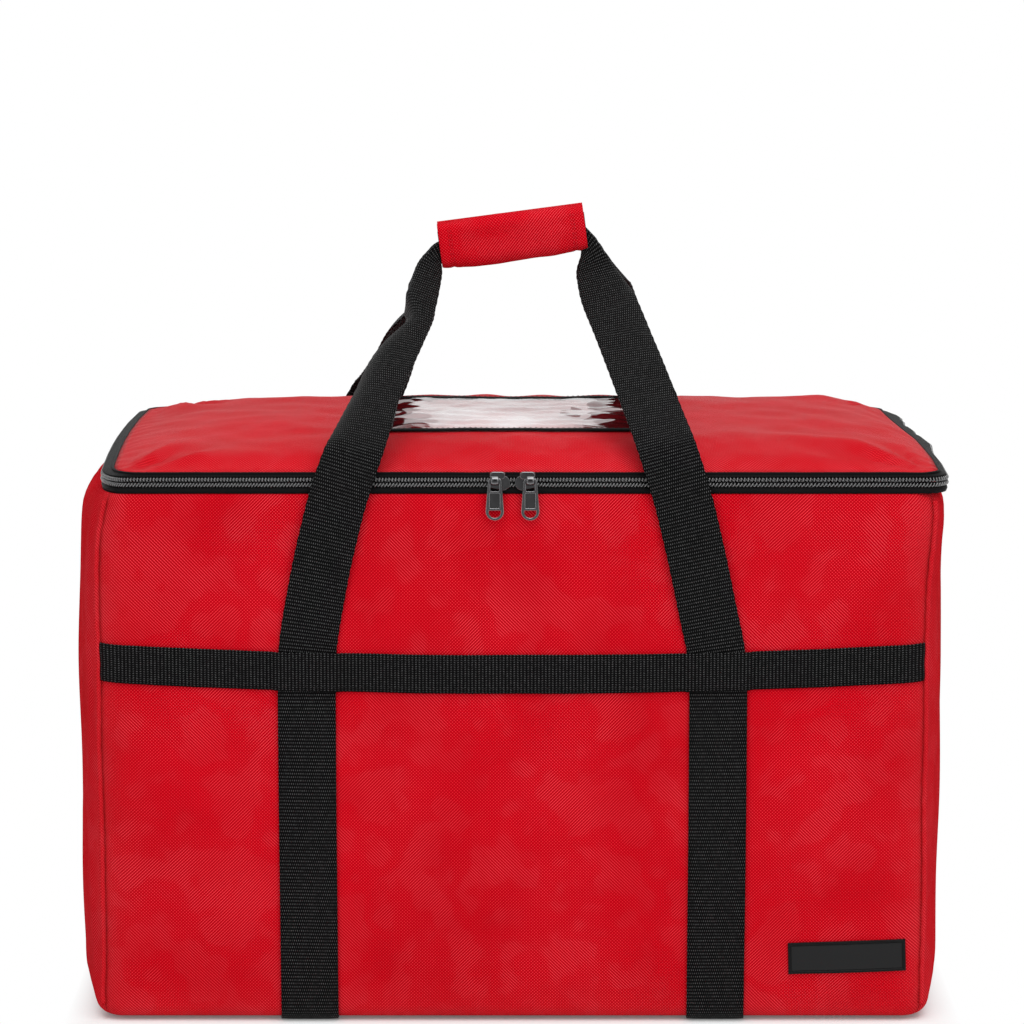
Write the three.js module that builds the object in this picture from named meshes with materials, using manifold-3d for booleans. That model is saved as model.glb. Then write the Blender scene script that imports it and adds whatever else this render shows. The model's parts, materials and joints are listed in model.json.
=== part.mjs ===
// Insulated cooler tote bag with a zipped lid, two webbing handles and a padded grip wrap.
// Millimetres, +Z up. The bag stands on Z = 0, its front looks along -Y and +X is to its right.
import * as THREE from 'three';
import { mergeVertices } from 'three/addons/utils/BufferGeometryUtils.js';
import Module from 'manifold-3d';

const wasm = await Module();
wasm.setup();

// How finely curved cloth is divided
const flatSteps = 6;
const cornerSteps = 3;
const wallRowCount = 8;
const lidRings = 5;
const turnSteps = 10;
const strapSteps = 6;
const trimSteps = 2;
const pocketSteps = 8;
const arcSteps = 6;
const cordSides = 6;
const rowCrowding = 1.5;

// Body, measured at its sewn corners
const bodyWidth = 547;
const bodyDepth = 330;
const wallTop = 357;
const cornerRadius = 16;
const footRadius = 9;
const sideBulge = 22;
const cornerBulge = 3.5;
const cornerBulgePower = 4;
const frontBulge = 10;
const sideBulgePower = 10;

// Cloth, padding and the gap that touching pieces keep
const gap = 0.3;
const skin = 1.2;
const wallFoam = 8;
const linerSkin = 0.6;
const boardThickness = 2.5;
const seamRadius = 1.8;

// Webbing
const webbingWidth = 38;
const webbingThickness = 1.8;
const strapSpacing = 270;
const bandWidth = 25.4;
const bandTopAtSeam = 257.5;
const bandSag = 6;
const bandThickness = 1.5;
const bandRamp = 4;

// Zip
const tapeHeight = 4;
const tapeThickness = 0.8;
const coilDiameter = 2.4;
const coilGap = 1.2;
const lidTapeHeight = 1.5;
const zipBackStop = 12;

// Slider and its pull
const sliderLength = 14.6;
const sliderWidth = 10;
const sliderTailWidth = 7.2;
const sliderPlate = 1.4;
const sliderClearance = 0.3;
const sliderSpacing = 17.6;
const postLength = 3;
const postThickness = 0.8;
const crownWidth = 4.4;
const crownBar = 1.6;
const crownWindow = 3.8;
const crownLift = 3.6;
const crownLow = 0.2;
const crownSetBack = 2.8;
const pullLength = 27.7;
const pullTopWidth = 9;
const pullFootWidth = 12;
const pullThickness = 1.8;
const pullBar = 1.8;
const pullArm = 1.6;
const pullSlot = 7;
const pullEyeWidth = 8.4;
const pullEyeHeight = 5.6;
const pullRim = 1.6;
const pullRecess = 0.5;
const pullChamfer = 1;
const cutMargin = 1;

// Lid and its clear pocket
const bindingDiameter = 3;
const lidDome = 15;
const lidDomePower = 6;
const lidFoamInset = 9;
const hingeStripHeight = 3.2;
const pocketWidth = 166;
const pocketDepth = 175;
const pocketBinding = 8;
const pocketSheet = 0.6;
const pocketBindingThickness = 1.1;

// Handles, grip wrap and its flap
const gripRise = 154;
const gripLength = 101;
const gripTilt = 7.5;
const barHeight = 20;
const barThickness = 4.8;
const barSplit = 0.4;
const barOverhang = 5;
const wrapWall = 6;
const flapThickness = 4.3;
const flapCorner = 4;
const strapLeanWidth = 212;
const strapStandOff = 6;
const strapBendRise = 24;
const strapNeck = 30;
const strapRimRound = 16;

// Patch near the right foot of the front
const patchWidth = 76;
const patchHeight = 21.6;
const patchEdgeInset = 14;
const patchCentreZ = 43;
const patchThickness = 1.2;

// Worked out from the sizes above
const halfWidth = bodyWidth / 2;
const halfDepth = bodyDepth / 2;
const strapX = strapSpacing / 2;
const floorSkinBottom = webbingThickness + gap;
const foamInset = skin + gap;
const linerInset = foamInset + wallFoam + gap;
const boardBottom = floorSkinBottom + skin + gap;
const floorFoamBottom = boardBottom + boardThickness + gap;
const linerBottom = floorFoamBottom + wallFoam + gap;
const bodyCoilZ = wallTop + gap + tapeHeight + gap + coilDiameter / 2;
const lidCoilZ = bodyCoilZ + coilDiameter + coilGap;
const zipMiddleZ = (bodyCoilZ + lidCoilZ) / 2;
const lidTapeBottom = lidCoilZ + coilDiameter / 2 + gap;
const bindingZ = lidTapeBottom + lidTapeHeight + gap + bindingDiameter / 2;
const lidPanelInset = bindingDiameter / 2 + gap;
const lidUnderside = wallTop + gap;
const hingeZ = wallTop + 2 * gap + hingeStripHeight;
const strapRunTop = bandTop(strapX + webbingWidth / 2);
const gripHeight = wallTop + gripRise;
const strapBendHeight = wallTop + strapBendRise;
const patchCentreX = halfWidth - patchEdgeInset - patchWidth / 2;

const finishes = {
  redCloth: { color: 0xc80c1e, roughness: 0.75, metalness: 0 },
  webbing: { color: 0x1c1c1d, roughness: 0.85, metalness: 0 },
  zipTape: { color: 0x161617, roughness: 0.8, metalness: 0 },
  coil: { color: 0x202122, roughness: 0.4, metalness: 0 },
  darkMetal: { color: 0x3a3b3d, roughness: 0.3, metalness: 0.9 },
  foil: { color: 0xc9ccd0, roughness: 0.35, metalness: 0.6 },
  foam: { color: 0xe8e6df, roughness: 0.9, metalness: 0 },
  board: { color: 0x4a4b4c, roughness: 0.7, metalness: 0 },
  clearSheet: { color: 0xf4f6f7, roughness: 0.1, metalness: 0, transparent: true, opacity: 0.35 },
  patch: { color: 0x121213, roughness: 0.6, metalness: 0 },
};

const bag = new THREE.Group();

function addPiece(parent, name, geometry, finish) {
  const mesh = new THREE.Mesh(geometry, new THREE.MeshStandardMaterial(finishes[finish]));
  mesh.name = name;
  parent.add(mesh);
  return mesh;
}

// Turns a list of points and triangles into a geometry whose faces point out.
function geometryOf(points, triangles) {
  const geometry = new THREE.BufferGeometry();
  geometry.setAttribute('position', new THREE.Float32BufferAttribute(points.flat(), 3));
  const volume = triangles.reduce((sum, [a, b, c]) => {
    const [p, q, r] = [points[a], points[b], points[c]].map((v) => new THREE.Vector3(...v));
    return sum + p.dot(q.cross(r));
  }, 0);
  const facing = volume > 0 ? triangles : triangles.map(([a, b, c]) => [a, c, b]);
  geometry.setIndex(facing.flat());
  geometry.computeVertexNormals();
  return geometry;
}

// Joins rings of equal length into a skin; each ring is closed.
function skinOfRings(rings, closedPath) {
  const count = rings[0].length;
  const triangles = [];
  const last = closedPath ? rings.length : rings.length - 1;
  for (let i = 0; i < last; i += 1) {
    const next = (i + 1) % rings.length;
    for (let j = 0; j < count; j += 1) {
      const k = (j + 1) % count;
      triangles.push([i * count + j, next * count + j, next * count + k]);
      triangles.push([i * count + j, next * count + k, i * count + k]);
    }
  }
  if (!closedPath) {
    const end = (rings.length - 1) * count;
    for (let j = 1; j < count - 1; j += 1) {
      triangles.push([0, j, j + 1]);
      triangles.push([end, end + j + 1, end + j]);
    }
  }
  return geometryOf(rings.flat(), triangles);
}

// A slab between two matching grids of points: one outer, one inner. Both faces split their
// squares along the same diagonal, so that slabs with the same grid lie evenly on each other.
function slabOfGrids(outer, inner) {
  const rings = outer.map((row, i) => [...row, ...[...inner[i]].reverse()]);
  const count = outer[0].length;
  const total = 2 * count;
  const points = rings.flat();
  const triangles = [];
  for (let i = 0; i < rings.length - 1; i += 1) {
    for (let j = 0; j < total; j += 1) {
      const k = (j + 1) % total;
      const [a, b, c, d] = [i * total + j, (i + 1) * total + j, (i + 1) * total + k, i * total + k];
      if (j < count) triangles.push([a, b, c], [a, c, d]);
      else triangles.push([a, b, d], [b, c, d]);
    }
  }
  for (const [row, flip] of [[0, false], [rings.length - 1, true]]) {
    for (let j = 0; j < count - 1; j += 1) {
      const [a, b] = [row * total + j, row * total + j + 1];
      const [c, d] = [row * total + total - 2 - j, row * total + total - 1 - j];
      triangles.push(flip ? [a, c, b] : [a, b, c], flip ? [a, d, c] : [a, c, d]);
    }
  }
  return geometryOf(points, triangles);
}

function mirrored(geometry, alongX, alongY) {
  const turned = geometry.clone();
  turned.scale(alongX, alongY, 1);
  turned.setIndex([...turned.index.array].reverse());
  turned.computeVertexNormals();
  return turned;
}

function steps(from, to, count) {
  return Array.from({ length: count + 1 }, (_, i) => from + ((to - from) * i) / count);
}

// How far the soft walls stand out, as a share of their full bulge.
function sideProfile(z) {
  return 1 - Math.min(1, z / wallTop) ** sideBulgePower;
}

function frontProfile(z) {
  return Math.sin(Math.PI * THREE.MathUtils.clamp(z / wallTop, 0, 1));
}

function bulged(x, y, z) {
  const acrossDepth = 1 - Math.min(1, (y / halfDepth) ** 2);
  const acrossWidth = 1 - Math.min(1, (x / halfWidth) ** 2);
  const nearCorner = cornerBulge * Math.min(1, Math.abs(x / halfWidth) ** cornerBulgePower);
  const wider = 1 + ((sideBulge * acrossDepth + nearCorner) / halfWidth) * sideProfile(z);
  const deeper = 1 + (frontBulge / halfDepth) * acrossWidth * frontProfile(z);
  return [x * wider, y * deeper, z];
}

// Places along one wall: on the flat part by distance, or in a corner by angle.
const cornerTurn = Math.PI / 4;
const walls = ['front', 'right', 'back', 'left'];

function flatPlaces(from, to, count) {
  return steps(from, to, count).map((along) => ({ along }));
}

function halfLength(wall) {
  return wall === 'front' || wall === 'back' ? halfWidth : halfDepth;
}

function wallPlaces(wall, turn) {
  const flat = halfLength(wall) - cornerRadius;
  const start = steps(turn, 0, cornerSteps).slice(0, -1).map((angle) => ({ angle, end: -1 }));
  const finish = steps(0, turn, cornerSteps).slice(1).map((angle) => ({ angle, end: 1 }));
  return [...start, ...flatPlaces(-flat, flat, flatSteps), ...finish];
}

// The horizontal place of a wall point, inset from the outer face.
function onWall(wall, place, inset) {
  const flat = halfLength(wall) - cornerRadius;
  const out = (halfLength(wall) === halfWidth ? halfDepth : halfWidth) - cornerRadius;
  const radius = cornerRadius - inset;
  let along = place.along;
  let outward = out + radius;
  if (place.end !== undefined) {
    along = place.end * (flat + radius * Math.sin(place.angle));
    outward = out + radius * Math.cos(place.angle);
  }
  return [[along, -outward], [outward, along], [-along, outward], [-outward, -along]][walls.indexOf(wall)];
}

// Levels up the wall: round the foot by angle, then by height.
function footLevels(count) {
  return steps(0, Math.PI / 2, count).slice(0, -1).map((angle) => ({ foot: angle }));
}

function wallLevels(from, to, count) {
  return steps(from, to, count).map((height) => ({ height }));
}

const footTop = floorSkinBottom + footRadius;

// Heights up a wall, closer together near the top, where the sides turn in.
const wallRows = steps(0, 1, wallRowCount).map((share) =>
  footTop + (wallTop - footTop) * (1 - (1 - share) ** rowCrowding));

function rowsBetween(low, high) {
  const inside = wallRows.filter((height) => height > low + footRadius && height < high - footRadius);
  return [low, ...inside, high].map((height) => ({ height }));
}

function wallPoint(wall, place, level, offset) {
  let inset = -offset;
  let z = level.height;
  if (level.foot !== undefined) {
    inset = footRadius - (footRadius + offset) * Math.sin(level.foot);
    z = footTop - (footRadius + offset) * Math.cos(level.foot);
  }
  const [x, y] = onWall(wall, place, inset);
  return bulged(x, y, z);
}

// A patch of cloth on a wall, between two distances from its outer face.
function wallPatch(wall, places, levels, innerOffset, outerOffset) {
  const grid = (offset) => levels.map((level) =>
    places.map((place) => wallPoint(wall, place, level, offset)));
  return slabOfGrids(grid(outerOffset), grid(innerOffset));
}

function addWall(wall) {
  const seamAngle = cornerTurn - gap / (cornerRadius - skin);
  const levels = [...footLevels(cornerSteps), ...wallRows.map((height) => ({ height }))];
  const places = wallPlaces(wall, seamAngle);
  addPiece(bag, `${wall}_panel`, wallPatch(wall, places, levels, -skin, 0), 'redCloth');

  const flat = halfLength(wall) - cornerRadius;
  const boards = rowsBetween(linerBottom, wallTop - gap);
  const boardPlaces = flatPlaces(-flat, flat, flatSteps);
  const foam = wallPatch(wall, boardPlaces, boards, -foamInset - wallFoam, -foamInset);
  addPiece(bag, `${wall}_foam_board`, foam, 'foam');

  const liner = wallPatch(wall, places, boards, -linerInset - linerSkin, -linerInset);
  addPiece(bag, `${wall}_liner`, liner, 'foil');
}

// The outline of the whole body at one level, inset from the outer face.
function bodyLoop(inset, z) {
  const loop = [];
  for (const wall of walls) {
    for (const place of wallPlaces(wall, cornerTurn).slice(1)) {
      const [x, y] = onWall(wall, place, inset);
      loop.push(bulged(x, y, z));
    }
  }
  return loop;
}

// A flat or domed plate: its rings are shares of an outline and shrink to the middle on both faces.
function plate(loop, bottomAt, topAt, shares = [1]) {
  const face = (heightAt) => shares.map((share) => loop.map(([x, y]) =>
    [x * share, y * share, heightAt(x * share, y * share)]));
  const rings = [...face(bottomAt).reverse(), ...face(topAt)];
  const count = loop.length;
  const points = [...rings.flat(), [0, 0, bottomAt(0, 0)], [0, 0, topAt(0, 0)]];
  const [low, high] = [points.length - 2, points.length - 1];
  const end = (rings.length - 1) * count;
  const triangles = [];
  for (let i = 0; i < rings.length - 1; i += 1) {
    for (let j = 0; j < count; j += 1) {
      const k = (j + 1) % count;
      const [a, b, c, d] = [i * count + j, (i + 1) * count + j, (i + 1) * count + k, i * count + k];
      if (i < shares.length) triangles.push([a, b, d], [b, c, d]);
      else triangles.push([a, b, c], [a, c, d]);
    }
  }
  for (let j = 0; j < count; j += 1) {
    const k = (j + 1) % count;
    triangles.push([low, j, k], [high, end + k, end + j]);
  }
  return geometryOf(points, triangles);
}

function flatPlate(inset, bottom, thickness) {
  return plate(bodyLoop(inset, bottom), () => bottom, () => bottom + thickness);
}

function addFloor() {
  const floorInset = footRadius + gap;
  addPiece(bag, 'bottom_panel', flatPlate(floorInset, floorSkinBottom, skin), 'redCloth');
  addPiece(bag, 'base_board', flatPlate(floorInset, boardBottom, boardThickness), 'board');
  addPiece(bag, 'bottom_foam_board', flatPlate(floorInset, floorFoamBottom, wallFoam), 'foam');
  const linerFloorInset = linerInset + linerSkin + gap;
  addPiece(bag, 'bottom_liner', flatPlate(linerFloorInset, linerBottom, linerSkin), 'foil');
}

// Sweeps a section along a path. Each stop of the path has a place, an outward and an upward
// direction; the section is a list of [outward, up] pairs.
function sweep(stops, section, closedPath = false) {
  const rings = stops.map(({ at, out, up }) => section.map(([a, b]) =>
    at.clone().addScaledVector(out, a).addScaledVector(up, b).toArray()));
  return skinOfRings(rings, closedPath);
}

function roundSection(radius, sides) {
  return steps(0, 2 * Math.PI, sides).slice(0, -1).map((angle) =>
    [radius * Math.cos(angle), radius * Math.sin(angle)]);
}

function boxSection(width, height) {
  const [w, h] = [width / 2, height / 2];
  return [[-w, -h], [w, -h], [w, h], [-w, h]];
}

const corners = [
  { name: 'front_right', wall: 'front', atEnd: true },
  { name: 'back_right', wall: 'back', atEnd: false },
  { name: 'back_left', wall: 'back', atEnd: true },
  { name: 'front_left', wall: 'front', atEnd: false },
];

// The folded seam that stands along each upright corner.
function addCornerSeams() {
  const levels = rowsBetween(footTop, wallTop - seamRadius);
  for (const { name, wall, atEnd } of corners) {
    const place = { angle: cornerTurn, end: atEnd ? 1 : -1 };
    const stops = levels.map((level) => {
      const at = new THREE.Vector3(...wallPoint(wall, place, level, seamRadius + 2 * gap));
      return { at, out: new THREE.Vector3(1, 0, 0), up: new THREE.Vector3(0, 1, 0) };
    });
    addPiece(bag, `corner_seam_${name}`, sweep(stops, roundSection(seamRadius, cordSides)), 'redCloth');
  }
}

function bandTop(x) {
  return bandTopAtSeam - bandSag * (1 - (x / halfWidth) ** 2);
}

// How far the band is lifted where it crosses a strap.
function bandLift(x) {
  const beyond = Math.abs(Math.abs(x) - strapX) - webbingWidth / 2 - gap;
  const share = THREE.MathUtils.clamp(1 - beyond / bandRamp, 0, 1);
  return gap + share * (webbingThickness + gap);
}

function bandPlaces() {
  const edge = webbingWidth / 2 + gap;
  const flat = halfWidth - cornerRadius;
  const rampStart = strapX - edge - bandRamp;
  const stops = [0, rampStart / 2, rampStart, strapX - edge, strapX, strapX + edge,
    strapX + edge + bandRamp, (strapX + flat) / 2 + edge, flat];
  return [...stops.slice(1).reverse().map((x) => -x), ...stops];
}

function addBand(wall) {
  const alongs = bandPlaces();
  const rows = [1, 0.5, 0];
  const grid = (extra) => rows.map((share) => alongs.map((along) => {
    const height = bandTop(along) - share * bandWidth;
    return wallPoint(wall, { along }, { height }, bandLift(along) + extra);
  }));
  addPiece(bag, `${wall}_band`, slabOfGrids(grid(bandThickness), grid(0)), 'webbing');
}

const sides = ['left', 'right'];

function sideSign(sideName) {
  return sideName === 'left' ? -1 : 1;
}

// Each strap is sewn up the front, under the floor and up the back.
function addStrapRuns(sideName) {
  const centre = sideSign(sideName) * strapX;
  const outer = gap + webbingThickness;
  for (const wall of ['front', 'back']) {
    const facing = wall === 'front' ? 1 : -1;
    const [from, to] = [centre * facing - webbingWidth / 2, centre * facing + webbingWidth / 2];
    const levels = [...footLevels(cornerSteps), ...rowsBetween(footTop, strapRunTop)];
    const run = wallPatch(wall, flatPlaces(from, to, trimSteps), levels, gap, outer);
    addPiece(bag, `${wall}_strap_run_${sideName}`, run, 'webbing');
  }
  const reach = 2 * (halfDepth - footRadius - gap);
  const under = new THREE.BoxGeometry(webbingWidth, reach, webbingThickness);
  const run = addPiece(bag, `floor_strap_run_${sideName}`, under, 'webbing');
  run.position.set(centre, 0, webbingThickness / 2);
}

function addPatch() {
  const places = flatPlaces(patchCentreX - patchWidth / 2, patchCentreX + patchWidth / 2, trimSteps);
  const [low, high] = [patchCentreZ - patchHeight / 2, patchCentreZ + patchHeight / 2];
  const levels = wallLevels(low, high, trimSteps);
  const patch = wallPatch('front', places, levels, gap, gap + patchThickness);
  addPiece(bag, 'front_patch', patch, 'patch');
}

// The zip's way round three sides, from one back corner to the other.
function zipPlaces() {
  const flat = halfDepth - cornerRadius;
  const end = flat - zipBackStop;
  const turns = steps(0, cornerTurn, cornerSteps).slice(1, -1);
  const leftTurn = turns.map((angle) => ({ angle, end: 1 }));
  const rightTurn = [...turns].reverse().map((angle) => ({ angle, end: -1 }));
  return {
    left: [...flatPlaces(-end, flat, flatSteps), ...leftTurn],
    front: wallPlaces('front', cornerTurn),
    right: [...rightTurn, ...flatPlaces(-flat, end, flatSteps)],
  };
}

function zipStops(z) {
  const up = new THREE.Vector3(0, 0, 1);
  return Object.entries(zipPlaces()).flatMap(([wall, places]) => places.map((place) => {
    const [x, y] = onWall(wall, place, 0);
    const [innerX, innerY] = onWall(wall, place, 1);
    return { at: new THREE.Vector3(x, y, z), out: new THREE.Vector3(x - innerX, y - innerY, 0), up };
  }));
}

function addZip(lid) {
  const bodyTape = sweep(zipStops(wallTop + gap + tapeHeight / 2), boxSection(tapeThickness, tapeHeight));
  addPiece(bag, 'body_zip_tape', bodyTape, 'zipTape');
  const coilSection = roundSection(coilDiameter / 2, cordSides);
  addPiece(bag, 'body_zip_coil', sweep(zipStops(bodyCoilZ), coilSection), 'coil');
  addPiece(lid, 'lid_zip_coil', sweep(zipStops(lidCoilZ), coilSection), 'coil');
  const lidTapeZ = lidTapeBottom + lidTapeHeight / 2;
  const lidTape = sweep(zipStops(lidTapeZ), boxSection(tapeThickness, lidTapeHeight));
  addPiece(lid, 'lid_zip_tape', lidTape, 'zipTape');
}

function domeAt(x, y) {
  const [a, b] = [halfWidth - lidPanelInset, halfDepth - lidPanelInset];
  const along = 1 - Math.min(1, Math.abs(x / a) ** lidDomePower);
  return lidDome * along * (1 - Math.min(1, Math.abs(y / b) ** lidDomePower));
}

// Lays a flat geometry on the lid, rising with its dome.
function drapedOnLid(geometry, lift) {
  const position = geometry.getAttribute('position');
  for (let i = 0; i < position.count; i += 1) {
    const rise = domeAt(position.getX(i), position.getY(i));
    position.setZ(i, position.getZ(i) + rise + lidPanelTop + lift);
  }
  geometry.computeVertexNormals();
  return geometry;
}

const lidPanelTop = bindingZ + skin / 2;

function addLid(lid) {
  const panelTop = (x, y) => lidPanelTop + domeAt(x, y);
  const panelUnder = (x, y) => panelTop(x, y) - skin;
  const panelLoop = bodyLoop(lidPanelInset, wallTop);
  const rimShare = 1 - lidFoamInset / halfDepth;
  const foamShares = [rimShare, ...steps(1, 0, lidRings).slice(1, -1)];
  const panel = plate(panelLoop, panelUnder, panelTop, [1, ...foamShares]);
  addPiece(lid, 'lid_panel', panel, 'redCloth');

  const foamBottom = lidUnderside + linerSkin + gap;
  const foamTop = (x, y) => panelUnder(x, y) - gap;
  addPiece(lid, 'lid_foam_board', plate(panelLoop, () => foamBottom, foamTop, foamShares), 'foam');
  const lidLiner = plate(panelLoop, () => lidUnderside, () => lidUnderside + linerSkin, [rimShare]);
  addPiece(lid, 'lid_liner', lidLiner, 'foil');

  const rim = bodyLoop(0, wallTop).map(([x, y]) => {
    const out = new THREE.Vector3(x - THREE.MathUtils.clamp(x, cornerRadius - halfWidth,
      halfWidth - cornerRadius), y - THREE.MathUtils.clamp(y, cornerRadius - halfDepth,
      halfDepth - cornerRadius), 0).normalize();
    return { at: new THREE.Vector3(x, y, bindingZ), out, up: new THREE.Vector3(0, 0, 1) };
  });
  addPiece(lid, 'lid_binding', sweep(rim, roundSection(bindingDiameter / 2, cordSides), true), 'zipTape');
}

// A cloth strip along the back joins the lid to the back panel. Its fold is the lid's hinge.
function addHingeStrip(lid) {
  const flat = halfWidth - cornerRadius;
  const strip = (height) => new THREE.BoxGeometry(2 * flat, tapeThickness, height);
  const low = addPiece(bag, 'hinge_strip_lower', strip(hingeStripHeight), 'zipTape');
  low.position.set(0, halfDepth, wallTop + gap + hingeStripHeight / 2);
  const upperHeight = bindingZ - bindingDiameter / 2 - gap - hingeZ;
  const high = addPiece(lid, 'hinge_strip_upper', strip(upperHeight), 'zipTape');
  high.position.set(0, halfDepth, hingeZ + upperHeight / 2);
}

function addPocket(lid) {
  const [w, d] = [pocketWidth - pocketBinding, pocketDepth - pocketBinding];
  const sheet = new THREE.BoxGeometry(w, d, pocketSheet, pocketSteps, pocketSteps, 1);
  addPiece(lid, 'pocket_sheet', drapedOnLid(sheet, gap + pocketSheet / 2), 'clearSheet');
  const [hw, hd] = [w / 2, d / 2];
  const loop = [...steps(-hw, hw, pocketSteps).slice(1).map((x) => [x, -hd]),
    ...steps(-hd, hd, pocketSteps).slice(1).map((y) => [hw, y]),
    ...steps(hw, -hw, pocketSteps).slice(1).map((x) => [x, hd]),
    ...steps(hd, -hd, pocketSteps).slice(1).map((y) => [-hw, y])];
  const stops = loop.map(([x, y]) => {
    const out = new THREE.Vector3(Math.abs(x) === hw ? Math.sign(x) : 0,
      Math.abs(y) === hd ? Math.sign(y) : 0, 0);
    return { at: new THREE.Vector3(x, y, 0), out, up: new THREE.Vector3(0, 0, 1) };
  });
  const frame = sweep(stops, boxSection(pocketBinding, pocketBindingThickness), true);
  const lift = gap + pocketSheet + gap + pocketBindingThickness / 2;
  addPiece(lid, 'pocket_binding', drapedOnLid(frame, lift), 'zipTape');
}

// Booleans: a geometry becomes a solid, and back.
function solidOf(geometry) {
  const plain = geometry.clone();
  plain.deleteAttribute('normal');
  plain.deleteAttribute('uv');
  const merged = mergeVertices(plain, 1e-4);
  const vertProperties = new Float32Array(merged.getAttribute('position').array);
  const triVerts = new Uint32Array(merged.index.array);
  return new wasm.Manifold(new wasm.Mesh({ numProp: 3, vertProperties, triVerts }));
}

function geometryFrom(solid) {
  const { vertProperties, triVerts } = solid.getMesh();
  const geometry = new THREE.BufferGeometry();
  geometry.setAttribute('position', new THREE.Float32BufferAttribute(vertProperties, 3));
  geometry.setIndex([...triVerts]);
  geometry.computeVertexNormals();
  return geometry;
}

function joined(geometries) {
  return geometryFrom(geometries.map(solidOf).reduce((a, b) => a.add(b)));
}

function cutBy(geometry, cutters) {
  return geometryFrom(cutters.map(solidOf).reduce((a, b) => a.subtract(b), solidOf(geometry)));
}

// A flat outline in X and Z, thick along Y from near to far. Near is the side that looks to -Y.
function standing(shape, near, far, curveSegments = arcSteps) {
  const depth = far - near;
  const geometry = new THREE.ExtrudeGeometry(shape, { depth, bevelEnabled: false, curveSegments });
  geometry.rotateX(Math.PI / 2);
  geometry.translate(0, far, 0);
  return geometry;
}

function roundedRectangle(x0, z0, x1, z1, radius) {
  const shape = new THREE.Shape();
  shape.moveTo(x0 + radius, z0);
  shape.lineTo(x1 - radius, z0);
  shape.absarc(x1 - radius, z0 + radius, radius, -Math.PI / 2, 0);
  shape.lineTo(x1, z1 - radius);
  shape.absarc(x1 - radius, z1 - radius, radius, 0, Math.PI / 2);
  shape.lineTo(x0 + radius, z1);
  shape.absarc(x0 + radius, z1 - radius, radius, Math.PI / 2, Math.PI);
  shape.lineTo(x0, z0 + radius);
  shape.absarc(x0 + radius, z0 + radius, radius, Math.PI, 1.5 * Math.PI);
  return shape;
}

// Depths in front of the zip's own plane, as places along Y from that plane.
const coilFace = coilDiameter / 2 + sliderClearance;
const plateFace = coilFace + sliderPlate;
const crownInside = plateFace + crownLift;
const crownFace = crownInside + crownBar;
const pullAxisDepth = plateFace + crownLift / 2;
const pullAxisZ = crownLow + crownWindow / 2 + gap;

// The slider's plate: a shield, wide at its nose, which looks to +X.
function sliderShield() {
  const [l, w, tail] = [sliderLength / 2, sliderWidth / 2, sliderTailWidth / 2];
  const shape = new THREE.Shape();
  shape.moveTo(-l + tail, -tail);
  shape.lineTo(l - w, -w);
  shape.absarc(l - w, 0, w, -Math.PI / 2, Math.PI / 2);
  shape.lineTo(-l + tail, tail);
  shape.absarc(-l + tail, 0, tail, Math.PI / 2, 1.5 * Math.PI);
  return shape;
}

function crownGeometry() {
  const shape = new THREE.Shape();
  const low = crownLow - crownBar;
  const high = crownLow + crownWindow + crownBar;
  const foot = plateFace - sliderPlate / 2;
  shape.moveTo(low, foot);
  shape.lineTo(low, crownFace - crownBar);
  shape.quadraticCurveTo(low, crownFace, low + crownBar, crownFace);
  shape.lineTo(high - crownBar, crownFace);
  shape.quadraticCurveTo(high, crownFace, high, crownFace - crownBar);
  shape.lineTo(high, foot);
  shape.lineTo(high - crownBar, foot);
  shape.lineTo(high - crownBar, crownInside);
  shape.lineTo(crownLow, crownInside);
  shape.lineTo(crownLow, foot);
  const asked = { depth: crownWidth, bevelEnabled: false, curveSegments: arcSteps };
  const geometry = new THREE.ExtrudeGeometry(shape, asked);
  const toFrame = new THREE.Matrix4().makeBasis(new THREE.Vector3(0, 0, 1), new THREE.Vector3(0, -1, 0),
    new THREE.Vector3(1, 0, 0));
  geometry.applyMatrix4(toFrame);
  geometry.translate(-crownWidth / 2 - crownSetBack, 0, 0);
  return geometry;
}

function sliderGeometry() {
  const front = standing(sliderShield(), -plateFace, -coilFace);
  const back = standing(sliderShield(), coilFace, plateFace);
  const post = new THREE.BoxGeometry(postLength, 2 * coilFace + sliderPlate, postThickness);
  post.translate(sliderLength / 2 - postLength, 0, 0);
  return joined([front, back, post, crownGeometry()]);
}

function pullOutline() {
  const [top, foot] = [pullTopWidth / 2, pullFootWidth / 2];
  const low = pullBar / 2 - pullLength;
  const shape = new THREE.Shape();
  shape.moveTo(-top + pullChamfer, pullBar / 2);
  shape.lineTo(-top, -pullBar / 2);
  shape.lineTo(-foot, low + foot);
  shape.absarc(0, low + foot, foot, Math.PI, 2 * Math.PI);
  shape.lineTo(top, -pullBar / 2);
  shape.lineTo(top - pullChamfer, pullBar / 2);
  shape.closePath();
  return shape;
}

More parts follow.
